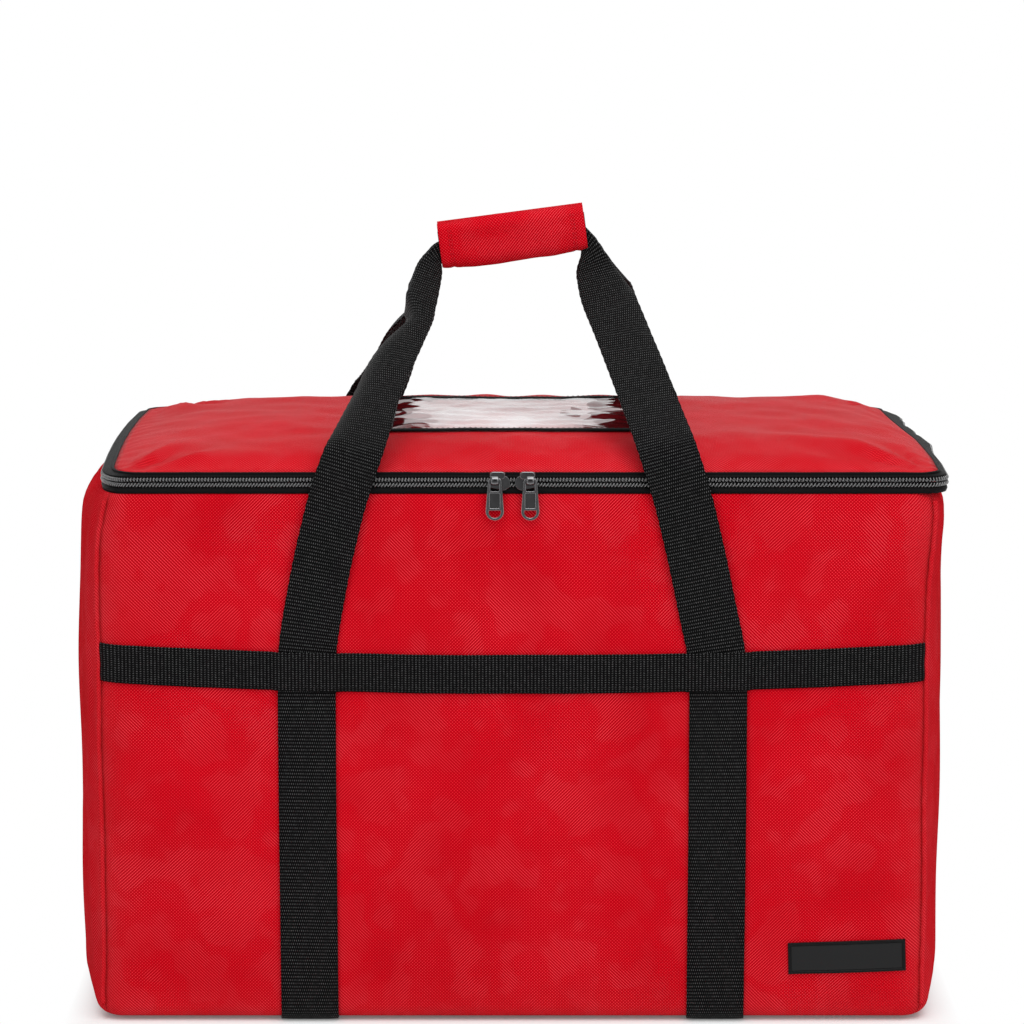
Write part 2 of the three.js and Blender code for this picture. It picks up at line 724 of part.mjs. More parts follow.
function pullGeometry() {
  const [near, far] = [-pullThickness / 2, pullThickness / 2];
  const body = standing(pullOutline(), near, far, 2 * arcSteps);
  const low = pullBar / 2 - pullLength;
  const slotHalf = pullTopWidth / 2 - pullArm;
  const slot = roundedRectangle(-slotHalf, -pullBar / 2 - pullSlot, slotHalf, -pullBar / 2, pullArm / 2);
  const eyeHalf = pullEyeWidth / 2;
  const eyeLow = low + pullRim;
  const eye = new THREE.Shape();
  eye.moveTo(-eyeHalf, eyeLow + pullEyeHeight);
  eye.lineTo(-eyeHalf, eyeLow + eyeHalf);
  eye.absarc(0, eyeLow + eyeHalf, eyeHalf, Math.PI, 2 * Math.PI);
  eye.lineTo(eyeHalf, eyeLow + pullEyeHeight);
  eye.closePath();
  const recessHalf = slotHalf + pullArm / 4;
  const recessTop = -pullBar / 2 - pullSlot - pullRim;
  const recessLow = eyeLow + pullEyeHeight + pullRim;
  const recess = roundedRectangle(-recessHalf, recessLow, recessHalf, recessTop, pullArm / 2);
  const through = [slot, eye].map((hole) => standing(hole, near - cutMargin, far + cutMargin));
  return cutBy(body, [...through, standing(recess, near - cutMargin, near + pullRecess)]);
}

function addSliders() {
  const slider = sliderGeometry();
  const pull = pullGeometry();
  for (const sideName of sides) {
    const sign = sideSign(sideName);
    const x = (sign * sliderSpacing) / 2;
    const facing = sign < 0 ? slider : mirrored(slider, -1, 1);
    const body = addPiece(bag, `slider_${sideName}`, facing, 'darkMetal');
    body.position.set(x, -halfDepth, zipMiddleZ);
    const tab = addPiece(bag, `pull_${sideName}`, pull, 'darkMetal');
    tab.position.set(x + sign * crownSetBack, -halfDepth - pullAxisDepth, zipMiddleZ + pullAxisZ);
  }
}

// The grip wrap is a padded sleeve, open to the back, where a flap closes it.
const sleeveHalf = barSplit / 2 + barThickness + gap;
const wrapHalfHeight = barHeight / 2 + gap + wrapWall;

function alongX(shape, length) {
  const asked = { depth: length, bevelEnabled: false, curveSegments: arcSteps };
  const geometry = new THREE.ExtrudeGeometry(shape, asked);
  const toFrame = new THREE.Matrix4().makeBasis(new THREE.Vector3(0, 1, 0), new THREE.Vector3(0, 0, 1),
    new THREE.Vector3(1, 0, 0));
  geometry.applyMatrix4(toFrame);
  geometry.translate(-length / 2, 0, 0);
  return geometry;
}

function wrapShape() {
  const [outer, inner] = [wrapHalfHeight, barHeight / 2 + gap];
  const front = -sleeveHalf - wrapWall;
  const round = wrapWall;
  const shape = new THREE.Shape();
  shape.moveTo(sleeveHalf, -outer);
  shape.lineTo(sleeveHalf, -inner);
  shape.lineTo(-sleeveHalf, -inner);
  shape.lineTo(-sleeveHalf, inner);
  shape.lineTo(sleeveHalf, inner);
  shape.lineTo(sleeveHalf, outer);
  shape.lineTo(front + round, outer);
  shape.absarc(front + round, outer - round, round, Math.PI / 2, Math.PI);
  shape.lineTo(front, -outer + round);
  shape.absarc(front + round, -outer + round, round, Math.PI, 1.5 * Math.PI);
  shape.closePath();
  return shape;
}

function flapShape() {
  const near = sleeveHalf + gap;
  const far = near + flapThickness;
  const shape = new THREE.Shape();
  shape.moveTo(near, wrapHalfHeight);
  shape.lineTo(near, -wrapHalfHeight);
  shape.lineTo(far - flapCorner, -wrapHalfHeight);
  shape.absarc(far - flapCorner, -wrapHalfHeight + flapCorner, flapCorner, -Math.PI / 2, 0);
  shape.lineTo(far, wrapHalfHeight - flapCorner);
  shape.absarc(far - flapCorner, wrapHalfHeight - flapCorner, flapCorner, 0, Math.PI / 2);
  shape.closePath();
  return shape;
}

function addGrip() {
  const grip = new THREE.Group();
  grip.position.set(0, 0, gripHeight);
  grip.rotation.y = -THREE.MathUtils.degToRad(gripTilt);
  bag.add(grip);
  addPiece(grip, 'grip_wrap', alongX(wrapShape(), gripLength), 'redCloth');
  addPiece(grip, 'grip_flap', alongX(flapShape(), gripLength), 'redCloth');
  const bar = new THREE.BoxGeometry(gripLength + 2 * barOverhang, barThickness, barHeight);
  const barY = (barSplit + barThickness) / 2;
  addPiece(grip, 'front_handle_bar', bar, 'webbing').position.y = -barY;
  addPiece(grip, 'back_handle_bar', bar, 'webbing').position.y = barY;
}

// The free part of a strap: flat webbing that rises from the band, leans over the lid and folds
// in half as it turns into the grip.
function strapStops(sign) {
  const tilt = THREE.MathUtils.degToRad(gripTilt);
  const barY = (barSplit + barThickness) / 2;
  const along = new THREE.Vector3(Math.cos(tilt), 0, Math.sin(tilt)).multiplyScalar(sign);
  const barEnd = new THREE.Vector3(0, -barY, gripHeight)
    .addScaledVector(along, gripLength / 2 + barOverhang + gap);
  const foot = new THREE.Vector3(...wallPoint('front', { along: sign * strapX },
    { height: strapRunTop + gap }, gap + webbingThickness / 2));
  const bend = new THREE.Vector3((sign * strapLeanWidth) / 2, -halfDepth - strapStandOff, strapBendHeight);
  const neck = barEnd.clone().addScaledVector(along, barHeight / 2);
  const towardBend = bend.clone().sub(neck).normalize();
  const shoulder = neck.clone().addScaledVector(towardBend, strapNeck);
  const towardFoot = foot.clone().sub(bend).normalize();
  const bendStart = bend.clone().addScaledVector(towardFoot, strapRimRound);
  const bendEnd = bend.clone().addScaledVector(towardBend, -strapRimRound);
  const turn = new THREE.QuadraticBezierCurve3(barEnd, neck, shoulder);
  const rim = new THREE.QuadraticBezierCurve3(bendEnd, bend, bendStart);
  const points = [];
  steps(0, 1, turnSteps).forEach((t) => points.push(turn.getPoint(t)));
  steps(0, 1, strapSteps).slice(1, -1).forEach((t) => points.push(shoulder.clone().lerp(bendEnd, t)));
  steps(0, 1, strapSteps).forEach((t) => points.push(rim.getPoint(t)));
  steps(0, 1, strapSteps).slice(1).forEach((t) => points.push(bendStart.clone().lerp(foot, t)));
  return { points, folded: turnSteps, along };
}

// How much the front wall turns back under a strap, as a slope.
function wallSlope(sign) {
  const [near, far] = [strapX - webbingWidth / 2, strapX + webbingWidth / 2].map((along) =>
    wallPoint('front', { along }, { height: strapRunTop }, 0)[1]);
  return (sign * (far - near)) / webbingWidth;
}

function strapGeometry(sign) {
  const { points, folded, along } = strapStops(sign);
  const last = points.length - 1;
  const rings = points.map((at, i) => {
    const tangent = points[Math.min(last, i + 1)].clone().sub(points[Math.max(0, i - 1)]).normalize();
    if (i === 0) tangent.copy(along);
    if (i === last) tangent.set(0, 0, -1);
    const rise = THREE.MathUtils.smoothstep(i, folded, last);
    const facing = new THREE.Vector3(rise * wallSlope(sign), -1, 0).normalize();
    const across = new THREE.Vector3().crossVectors(facing, tangent).normalize();
    const out = new THREE.Vector3().crossVectors(tangent, across).normalize();
    const share = THREE.MathUtils.smoothstep(i, 0, folded);
    const width = THREE.MathUtils.lerp(barHeight, webbingWidth, share);
    const thickness = THREE.MathUtils.lerp(barThickness, webbingThickness, share);
    return boxSection(thickness, width).map(([a, b]) =>
      at.clone().addScaledVector(out, a).addScaledVector(across, b).toArray());
  });
  return skinOfRings(rings, false);
}

function addHandleStraps() {
  for (const sideName of sides) {
    const strap = strapGeometry(sideSign(sideName));
    addPiece(bag, `front_handle_strap_${sideName}`, strap, 'webbing');
    addPiece(bag, `back_handle_strap_${sideName}`, mirrored(strap, 1, -1), 'webbing');
  }
}

const lid = new THREE.Group();
bag.add(lid);
walls.forEach(addWall);
addFloor();
addCornerSeams();
['front', 'back'].forEach(addBand);
sides.forEach(addStrapRuns);
addPatch();
addZip(lid);
addLid(lid);
addHingeStrip(lid);
addPocket(lid);
addSliders();
addGrip();
addHandleStraps();

export default bag;
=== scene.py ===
# %% [markdown]
# # An insulated cooler tote bag, dressed for a picture
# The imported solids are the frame: they say where each part of the bag is and how it moves. Every
# soft part gets a finer shape here: padded cloth walls, webbing with a real weave, a zip with its
# turns of wire, and cast sliders. Lengths are in millimetres up to the moment a mesh is made,
# because that is how a bag maker thinks.

# %% Load the frame
import json
import math
import bmesh
import bpy
import numpy as np
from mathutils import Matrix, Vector, noise

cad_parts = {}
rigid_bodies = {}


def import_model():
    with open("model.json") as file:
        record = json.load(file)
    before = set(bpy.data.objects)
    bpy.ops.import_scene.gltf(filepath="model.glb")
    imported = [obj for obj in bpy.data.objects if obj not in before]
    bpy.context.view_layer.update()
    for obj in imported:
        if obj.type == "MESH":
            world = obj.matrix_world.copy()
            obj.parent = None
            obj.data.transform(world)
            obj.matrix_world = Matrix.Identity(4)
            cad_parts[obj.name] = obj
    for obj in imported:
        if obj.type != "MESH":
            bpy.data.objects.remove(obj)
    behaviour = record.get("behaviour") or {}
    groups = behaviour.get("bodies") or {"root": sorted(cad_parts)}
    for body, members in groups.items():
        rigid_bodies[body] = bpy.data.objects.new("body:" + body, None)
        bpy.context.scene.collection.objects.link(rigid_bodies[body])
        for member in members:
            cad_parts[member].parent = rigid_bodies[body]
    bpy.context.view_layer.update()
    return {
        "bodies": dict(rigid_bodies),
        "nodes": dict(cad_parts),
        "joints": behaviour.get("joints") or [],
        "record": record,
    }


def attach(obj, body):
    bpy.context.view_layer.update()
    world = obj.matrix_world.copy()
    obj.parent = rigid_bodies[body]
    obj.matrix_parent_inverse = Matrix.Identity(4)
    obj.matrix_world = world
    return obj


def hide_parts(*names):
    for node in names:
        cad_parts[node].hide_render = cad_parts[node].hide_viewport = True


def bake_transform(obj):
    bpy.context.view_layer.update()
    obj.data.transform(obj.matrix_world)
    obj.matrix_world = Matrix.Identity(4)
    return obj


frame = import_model()

# %% [markdown]
# ## Camera
# A long lens from a little above the lid, with the bag upright in the picture. A long lens keeps
# the upright edges of the bag nearly parallel, and the small tilt shows the lid.

# %% Camera
FOCAL_PIXELS, PICTURE_PIXELS = 3836.9, 1024
CAMERA_PLACE, CAMERA_TILT = (-0.00034, -2.6413, 0.7461), 9.2
camera_data = bpy.data.cameras.new("camera")
camera_data.sensor_width = 36
camera_data.lens = FOCAL_PIXELS / PICTURE_PIXELS * camera_data.sensor_width
camera_data.clip_end = 60
camera = bpy.data.objects.new("camera", camera_data)
camera.location = CAMERA_PLACE
camera.rotation_euler = (math.radians(90 - CAMERA_TILT), 0, 0)
bpy.context.scene.collection.objects.link(camera)
bpy.context.scene.camera = camera
print("lens:", round(camera_data.lens, 1), "mm")

# %% [markdown]
# ## Short words for shader nodes
# A material is a tree of nodes joined by links, and it takes many lines to build one node by
# node. These helpers make a node, fill its inputs and give back what it puts out. A number is set
# on the socket itself, and what comes from another node is linked to it.


# %% Tools for node trees
def feed(tree, socket, value):
    if isinstance(value, bpy.types.NodeSocket):
        tree.links.new(value, socket)
    else:
        socket.default_value = value


def make(tree, kind, inputs=None, **settings):
    """A node with its settings, its inputs filled with numbers or links."""
    node = tree.nodes.new(kind)
    for key, value in settings.items():
        setattr(node, key, value)
    for key, value in (inputs or {}).items():
        feed(tree, node.inputs[key], value)
    return node


def calc(tree, operation, *values):
    return make(tree, "ShaderNodeMath", dict(enumerate(values)), operation=operation).outputs[0]


def remap(tree, value, low, high, to_low, to_high):
    """value from low..high to to_low..to_high, kept inside."""
    inputs = {"Value": value, "From Min": low, "From Max": high, "To Min": to_low, "To Max": to_high}
    return make(tree, "ShaderNodeMapRange", inputs).outputs["Result"]


def blend_colours(tree, share, a, b):
    """Colour a where share is 0, colour b where it is 1."""
    return make(tree, "ShaderNodeMix", {0: share, 6: a, 7: b}, data_type="RGBA").outputs[2]


def split(tree, vector):
    return make(tree, "ShaderNodeSeparateXYZ", {0: vector}).outputs


def object_map(tree):
    """Places in metres on the piece itself, for what shows no grain."""
    return make(tree, "ShaderNodeTexCoord").outputs["Object"]


def new_group(name, inputs, outputs):
    """A node group with named sockets: inputs are a name and a first value, outputs are names."""
    tree = bpy.data.node_groups.new(name, "ShaderNodeTree")
    tree.interface.new_socket("Vector", in_out="INPUT", socket_type="NodeSocketVector")
    for label, first in inputs:
        tree.interface.new_socket(label, in_out="INPUT", socket_type="NodeSocketFloat").default_value = first
    for label in outputs:
        tree.interface.new_socket(label, in_out="OUTPUT", socket_type="NodeSocketFloat")
    return tree, tree.nodes.new("NodeGroupInput").outputs, tree.nodes.new("NodeGroupOutput").inputs


def use(tree, group, **inputs):
    """A group placed in a material with its own values."""
    return make(tree, "ShaderNodeGroup", inputs, node_tree=group).outputs


def new_material(name):
    material = bpy.data.materials.new(name)
    material.use_nodes = True
    tree = material.node_tree
    shader = tree.nodes["Principled BSDF"]
    return material, tree, shader


# %% [markdown]
# ## Floor
# The floor has to look white in the picture and still carry the bag's shadow. Close to the foot
# it is a plain lit surface. Further out it shines by itself, for the camera and for what metal
# and vinyl show of it, and this light never reaches the bag.


# %% Floor
SHADOW_X, SHADOW_Y, SHADOW_FADE, LIT_SHARE = 0.272, 0.158, 0.028, 0.9
FLOOR_REACH = 6


def white_floor():
    material, tree, shader = new_material("studio_floor")
    shader.inputs["Base Color"].default_value = (0.9, 0.9, 0.9, 1)
    shader.inputs["Roughness"].default_value = 0.9
    glow = make(tree, "ShaderNodeEmission", {"Color": (1, 1, 1, 1), "Strength": 1.0})
    path = make(tree, "ShaderNodeLightPath").outputs
    seen = calc(tree, "MAXIMUM", path["Is Camera Ray"], path["Is Glossy Ray"])
    seen = calc(tree, "MAXIMUM", seen, path["Is Transmission Ray"])
    place = split(tree, object_map(tree))
    beside = calc(tree, "SUBTRACT", calc(tree, "ABSOLUTE", place[0]), SHADOW_X)
    before = calc(tree, "SUBTRACT", calc(tree, "ABSOLUTE", place[1]), SHADOW_Y)
    white = remap(tree, calc(tree, "MAXIMUM", beside, before), 0.0, SHADOW_FADE, 1 - LIT_SHARE, 1.0)
    share = calc(tree, "MULTIPLY", seen, white)
    mix = make(tree, "ShaderNodeMixShader", {0: share, 1: shader.outputs[0], 2: glow.outputs[0]})
    tree.links.new(mix.outputs[0], tree.nodes["Material Output"].inputs["Surface"])
    return material


corners = [(x * FLOOR_REACH, y * FLOOR_REACH, 0) for x, y in ((-1, -1), (1, -1), (1, 1), (-1, 1))]
floor_mesh = bpy.data.meshes.new("studio_floor")
floor_mesh.from_pydata(corners, [], [(0, 1, 2, 3)])
floor = bpy.data.objects.new("studio_floor", floor_mesh)
bpy.context.scene.collection.objects.link(floor)
floor_mesh.materials.append(white_floor())
print("floor:", 2 * FLOOR_REACH, "m wide")

# %% [markdown]
# ## Lamps and room
# A big soft box overhead gives the lid its light, and two weaker ones at the sides keep the front
# even. The room is white behind the bag and dim in front of it, so that the lid shines and the
# front keeps its colour. Only mirrors see that difference: as a light the room is even.


# %% Lamps and room
def soft_box(name, place, aim, size, power):
    data = bpy.data.lights.new(name, "AREA")
    data.shape, data.size, data.size_y, data.energy = "RECTANGLE", size[0], size[1], power
    lamp = bpy.data.objects.new(name, data)
    lamp.location = place
    lamp.rotation_euler = (Vector(aim) - Vector(place)).to_track_quat("-Z", "Y").to_euler()
    bpy.context.scene.collection.objects.link(lamp)


soft_box("box_above", (0.2, -0.95, 2.2), (0, 0, 0.3), (2.2, 1.8), 34)
soft_box("box_left", (-1.3, -2.2, 1.1), (0, 0, 0.25), (1.2, 1.6), 8.5)
soft_box("box_right", (1.4, -2.2, 1.2), (0, 0, 0.25), (1.2, 1.6), 10)

ROOM_LEVEL, FRONT_LEVEL, BACK_LEVEL = 0.5, 0.22, 1.0
world = bpy.data.worlds.new("room")
bpy.context.scene.world = world
world.use_nodes = True
room = world.node_tree
room_light = room.nodes["Background"]
room_light.inputs["Color"].default_value = (1, 1, 1, 1)
rays = make(room, "ShaderNodeLightPath").outputs
towards = split(room, make(room, "ShaderNodeTexCoord").outputs["Generated"])
backdrop = remap(room, towards[1], -0.1, 0.45, FRONT_LEVEL, BACK_LEVEL)
mirrored = calc(room, "MAXIMUM", rays["Is Glossy Ray"], rays["Is Transmission Ray"])
level = calc(room, "MULTIPLY_ADD", mirrored, calc(room, "SUBTRACT", backdrop, ROOM_LEVEL), ROOM_LEVEL)
level = calc(room, "MULTIPLY_ADD", rays["Is Camera Ray"], calc(room, "SUBTRACT", 1.0, level), level)
room.links.new(level, room_light.inputs["Strength"])

bpy.context.scene.view_settings.view_transform = "Standard"
print("lamps:", len(bpy.data.lights))

# %% [markdown]
# ## Patterns
# Cloth on a bag is never one colour. The polyester is a plain weave of fine threads that catch
# the light in turns, and webbing is a coarse weave whose bumps stand in staggered rows. Both are
# measured in metres along the cloth, from a map that each piece carries, so that the weave
# follows every strap. More than one material needs them, so each pattern is a node group.


# %% Plain weave
def plain_weave():
    """Threads that cross over and under. Lean says which of the two slants is the stronger."""
    tree, given, result = new_group("plain_weave", [("Pitch", 0.001), ("Lean", 0.5)], ["Height", "Over"])
    across, along = split(tree, given["Vector"])[:2]
    turns = calc(tree, "DIVIDE", math.pi, given["Pitch"])
    warp, weft = calc(tree, "MULTIPLY", across, turns), calc(tree, "MULTIPLY", along, turns)
    rising = calc(tree, "COSINE", calc(tree, "SUBTRACT", warp, weft))
    falling = calc(tree, "COSINE", calc(tree, "ADD", warp, weft))
    rest = calc(tree, "SUBTRACT", 1.0, given["Lean"])
    crossing = calc(tree, "SUBTRACT", calc(tree, "MULTIPLY", rising, given["Lean"]),
                    calc(tree, "MULTIPLY", falling, rest))
    feed(tree, result["Height"], calc(tree, "POWER", calc(tree, "ABSOLUTE", crossing), 0.6))
    feed(tree, result["Over"], calc(tree, "MULTIPLY_ADD", crossing, 0.5, 0.5))
    return tree


PLAIN_WEAVE = plain_weave()
print("group:", PLAIN_WEAVE.name)


# %% Webbing weave
def webbing_weave():
    """Rows of knuckles across the webbing; every second row is half a knuckle on, and may slant."""
    sizes = [("Row", 0.0027), ("Knuckle", 0.0016), ("Slant", 0.0)]
    tree, given, result = new_group("webbing_weave", sizes, ["Height"])
    axes = split(tree, given["Vector"])
    rows = calc(tree, "DIVIDE", axes[0], given["Row"])
    row_number = calc(tree, "FLOOR", rows)
    in_row = calc(tree, "SUBTRACT", rows, row_number)
    row_crown = calc(tree, "SINE", calc(tree, "MULTIPLY", in_row, math.pi))
    odd = calc(tree, "MODULO", calc(tree, "ABSOLUTE", row_number), 2.0)
    half_step = calc(tree, "MULTIPLY", odd, 0.5)
    way = calc(tree, "MULTIPLY", calc(tree, "MULTIPLY_ADD", half_step, 4.0, -1.0), given["Slant"])
    across = calc(tree, "ADD", calc(tree, "DIVIDE", axes[1], given["Knuckle"]), half_step)
    across = calc(tree, "MULTIPLY", calc(tree, "MULTIPLY_ADD", way, in_row, across), math.pi)
    knuckle = calc(tree, "ABSOLUTE", calc(tree, "SINE", across))
    height = calc(tree, "MULTIPLY", calc(tree, "POWER", row_crown, 0.5), calc(tree, "POWER", knuckle, 0.6))
    feed(tree, result["Height"], height)
    return tree


WEBBING_WEAVE = webbing_weave()
print("group:", WEBBING_WEAVE.name)


# %% Uneven tone
def uneven_tone():
    """Broad and fine clouds, from 0 to 1, for dye, dust and wear."""
    tree, given, result = new_group("uneven_tone", [("Size", 12.0)], ["Broad", "Fine"])
    vector = given["Vector"]
    broad = {"Vector": vector, "Scale": given["Size"], "Detail": 3.0, "Roughness": 0.55}
    fine = {"Vector": vector, "Scale": 420.0, "Detail": 2.0}
    for label, inputs in (("Broad", broad), ("Fine", fine)):
        feed(tree, result[label], make(tree, "ShaderNodeTexNoise", inputs).outputs[0])
    return tree


UNEVEN_TONE = uneven_tone()
print("group:", UNEVEN_TONE.name)

# %% [markdown]
# ## Red polyester
# The bag is sewn from coated polyester. Its red is made of three reds, laid out by the weave: the
# crowns of the threads carry a painted highlight, paler and pinker, and the gaps between them a
# painted shade. Where it is rubbed, at seams and edges, it is a little paler. The walls have no
# plain reflection, because even a weak one turns a wall white when it is seen from the side. The
# lid is seen at a low angle and has a trace of it.


# %% Red polyester
def cloth_map(tree):
    """Places in metres along and across the cloth, so that the weave follows each piece."""
    return make(tree, "ShaderNodeUVMap", uv_map="Cloth").outputs["UV"]


# Each point's share of wear and of painted light, as the materials read it.
def wear_and_painted_light_share(tree):
    return make(tree, "ShaderNodeAttribute", attribute_name="wear_and_painted_light").outputs["Fac"]


def noise_value(tree, **inputs):
    return make(tree, "ShaderNodeTexNoise", {"Vector": object_map(tree), **inputs}).outputs[0]


def add_bump(tree, shader, height, strength, depth):
    bump = make(tree, "ShaderNodeBump", {"Height": height, "Strength": strength, "Distance": depth})
    tree.links.new(bump.outputs["Normal"], shader.inputs["Normal"])


def set_plain(shader, **values):
    """Constant values, set on the shader's own sockets. Words are joined by underscores."""
    for name, value in values.items():
        shader.inputs[name.replace("_", " ")].default_value = value


def red_cloth(name, haze):
    material, tree, shader = new_material(name)
    tone = use(tree, UNEVEN_TONE, Vector=object_map(tree), Size=9.0)
    drift = remap(tree, noise_value(tree, Scale=26.0), 0.4, 0.6, 0.12, 0.88)
    weave = use(tree, PLAIN_WEAVE, Vector=cloth_map(tree), Pitch=0.00108, Lean=drift)
    broad = remap(tree, tone["Broad"], 0.3, 0.7, 0, 1)
    base = blend_colours(tree, broad, (0.49, 0.0007, 0.0060, 1), (0.59, 0.0012, 0.0085, 1))
    patches = remap(tree, noise_value(tree, Scale=17.0, Detail=3.0), 0.38, 0.62, 0.55, 1.0)
    # Painted highlight: the crowns of the threads are painted a paler, pinker red.
    painted_thread_highlight = calc(tree, "MULTIPLY", remap(tree, weave["Over"], 0.74, 0.98, 0.0, 0.95), patches)
    base = blend_colours(tree, painted_thread_highlight, base, (0.86, 0.085, 0.11, 1))
    # Painted shade: the gaps between the threads are painted a darker red.
    gap_shade = remap(tree, weave["Over"], 0.02, 0.45, 0.75, 0.0)
    base = blend_colours(tree, gap_shade, base, (0.30, 0.0006, 0.004, 1))
    rub = calc(tree, "MULTIPLY", wear_and_painted_light_share(tree), tone["Fine"])
    base = blend_colours(tree, calc(tree, "MULTIPLY", rub, 0.3), base, (0.62, 0.075, 0.085, 1))
    tree.links.new(base, shader.inputs["Base Color"])
    tree.links.new(remap(tree, broad, 0, 1, 0.34, 0.44), shader.inputs["Roughness"])
    set_plain(shader, Specular_IOR_Level=haze, Sheen_Weight=0.08, Sheen_Roughness=0.42,
              Sheen_Tint=(1.0, 0.14, 0.12, 1))
    height = calc(tree, "MULTIPLY_ADD", tone["Fine"], 0.25, weave["Height"])
    add_bump(tree, shader, height, 0.5, 0.0003)
    return material


RED, LID_RED = red_cloth("red_polyester", 0.0), red_cloth("red_polyester_lid", 0.012)
print("red cloth:", RED.name, LID_RED.name)

# %% [markdown]
# ## Black webbing and tape
# Polypropylene webbing is nearly black, with a painted grey highlight on the crowns of its knuckles.
# That grey is what makes the weave readable, more than its relief. The band has a slanted, ribbed weave.
# The zip's tape is a finer cloth with the plain weave of the bag.


# %% Webbing
def black_webbing(name, row, knuckle, lift, slant=0.0):
    material, tree, shader = new_material(name)
    tone = use(tree, UNEVEN_TONE, Vector=object_map(tree), Size=14.0)
    weave = use(tree, WEBBING_WEAVE, Vector=cloth_map(tree), Row=row, Knuckle=knuckle, Slant=slant)
    base = blend_colours(tree, tone["Broad"], (0.0016, 0.0016, 0.0017, 1), (0.0036, 0.0036, 0.0037, 1))
    # Painted highlight: the knuckles' crowns are painted a lighter grey, as strong as lift says.
    painted_knuckle_highlight = calc(tree, "MULTIPLY", remap(tree, weave["Height"], 0.78, 1, 0, lift),
                  remap(tree, tone["Fine"], 0.35, 0.65, 0.4, 1.0))
    base = blend_colours(tree, painted_knuckle_highlight, base, (0.13, 0.13, 0.131, 1))
    tree.links.new(base, shader.inputs["Base Color"])
    set_plain(shader, Roughness=0.5, Specular_IOR_Level=0.05)
    add_bump(tree, shader, calc(tree, "MULTIPLY_ADD", tone["Fine"], 0.2, weave["Height"]), 1.0, 0.0007)
    return material


WEBBING = black_webbing("black_webbing", 0.0023, 0.0014, 0.8)
RIBBED = black_webbing("ribbed_webbing", 0.0023, 0.0015, 0.75, 0.55)
print("webbing:", WEBBING.name, RIBBED.name)


# %% Zip tape
def zip_tape():
    material, tree, shader = new_material("black_tape")
    tone = use(tree, UNEVEN_TONE, Vector=object_map(tree), Size=20.0)
    weave = use(tree, PLAIN_WEAVE, Vector=cloth_map(tree), Pitch=0.0007)
    base = blend_colours(tree, tone["Broad"], (0.0030, 0.0030, 0.0034, 1), (0.0075, 0.0075, 0.0078, 1))
    # Painted highlight: the crowns of the tape's threads are painted a dark grey.
    painted_thread_highlight = remap(tree, weave["Over"], 0.6, 1, 0, 0.3)
    base = blend_colours(tree, painted_thread_highlight, base, (0.03, 0.03, 0.03, 1))
    tree.links.new(base, shader.inputs["Base Color"])
    set_plain(shader, Roughness=0.5, Specular_IOR_Level=0.035)
    add_bump(tree, shader, weave["Height"], 0.6, 0.0002)
    return material


TAPE = zip_tape()
print("tape:", TAPE.name)

# %% [markdown]
# ## Wire and thread
# The zip's coil is a smooth nylon wire, so each turn carries one small bright spot. Sewing thread
# is the same kind of round line without the gloss. One function makes both.


# %% Wire and thread
def coil_wire(name, colour, gloss):
    material, tree, shader = new_material(name)
    tone = use(tree, UNEVEN_TONE, Vector=object_map(tree), Size=60.0)
    lighter = tuple(c * 1.6 for c in colour[:3]) + (1,)
    base = blend_colours(tree, tone["Broad"], colour, lighter)
    tree.links.new(base, shader.inputs["Base Color"])
    set_plain(shader, Roughness=0.5 - 0.34 * gloss, Specular_IOR_Level=0.2 + 0.8 * gloss,
              Coat_Weight=0.8 * gloss, Coat_Roughness=0.12)
    return material


WIRE = coil_wire("zip_wire", (0.085, 0.085, 0.086, 1), 1.0)
THREAD = coil_wire("black_thread", (0.005, 0.005, 0.0053, 1), 0.0)
RED_THREAD = coil_wire("red_thread", (0.36, 0.003, 0.01, 1), 0.0)
print("wire and thread:", WIRE.name, THREAD.name, RED_THREAD.name)

# %% [markdown]
# ## Cast metal
# Sliders and pulls are cast and blackened. Where the surface turns away from the front the colour
# goes to a brighter metal: the edges are rubbed bare, and a painted highlight lies along them too.
# Each casting carries this share as a value at each point.


# %% Cast metal
def cast_metal(name, dark, light, edge):
    material, tree, shader = new_material(name)
    tone = use(tree, UNEVEN_TONE, Vector=object_map(tree), Size=160.0)
    base = blend_colours(tree, tone["Broad"], (dark, dark, dark * 1.04, 1), (light, light, light * 1.03, 1))
    # The edge colour is rubbed metal together with a painted highlight on the rims.
    base = blend_colours(tree, wear_and_painted_light_share(tree), base, (edge, edge, edge * 1.02, 1))
    tree.links.new(base, shader.inputs["Base Color"])
    set_plain(shader, Metallic=1.0)
    tree.links.new(remap(tree, tone["Fine"], 0.3, 0.7, 0.11, 0.24), shader.inputs["Roughness"])
    add_bump(tree, shader, tone["Broad"], 0.12, 0.0003)
    return material


METAL = cast_metal("dark_metal", 0.05, 0.10, 0.5)
BLACK_METAL = cast_metal("black_metal", 0.03, 0.06, 0.22)
print("castings:", METAL.name, BLACK_METAL.name)

# %% [markdown]
# ## What is inside the walls
# The lining is a thin metal film on a soft back, so it crinkles into small cells. The foam is a
# pale closed-cell board, and the stiff base board a dark plastic.


# %% Film, foam and base board
def silver_foil():
    material, tree, shader = new_material("silver_foil")
    cells = make(tree, "ShaderNodeTexVoronoi", {"Vector": object_map(tree), "Scale": 55.0}, feature="F1")
    tone = use(tree, UNEVEN_TONE, Vector=object_map(tree), Size=25.0)
    base = blend_colours(tree, tone["Broad"], (0.62, 0.63, 0.65, 1), (0.82, 0.83, 0.85, 1))
    tree.links.new(base, shader.inputs["Base Color"])
    set_plain(shader, Metallic=0.85)
    tree.links.new(remap(tree, tone["Broad"], 0.3, 0.7, 0.24, 0.42), shader.inputs["Roughness"])
    height = calc(tree, "ADD", cells.outputs["Distance"], tone["Broad"])
    add_bump(tree, shader, height, 0.3, 0.0009)
    return material


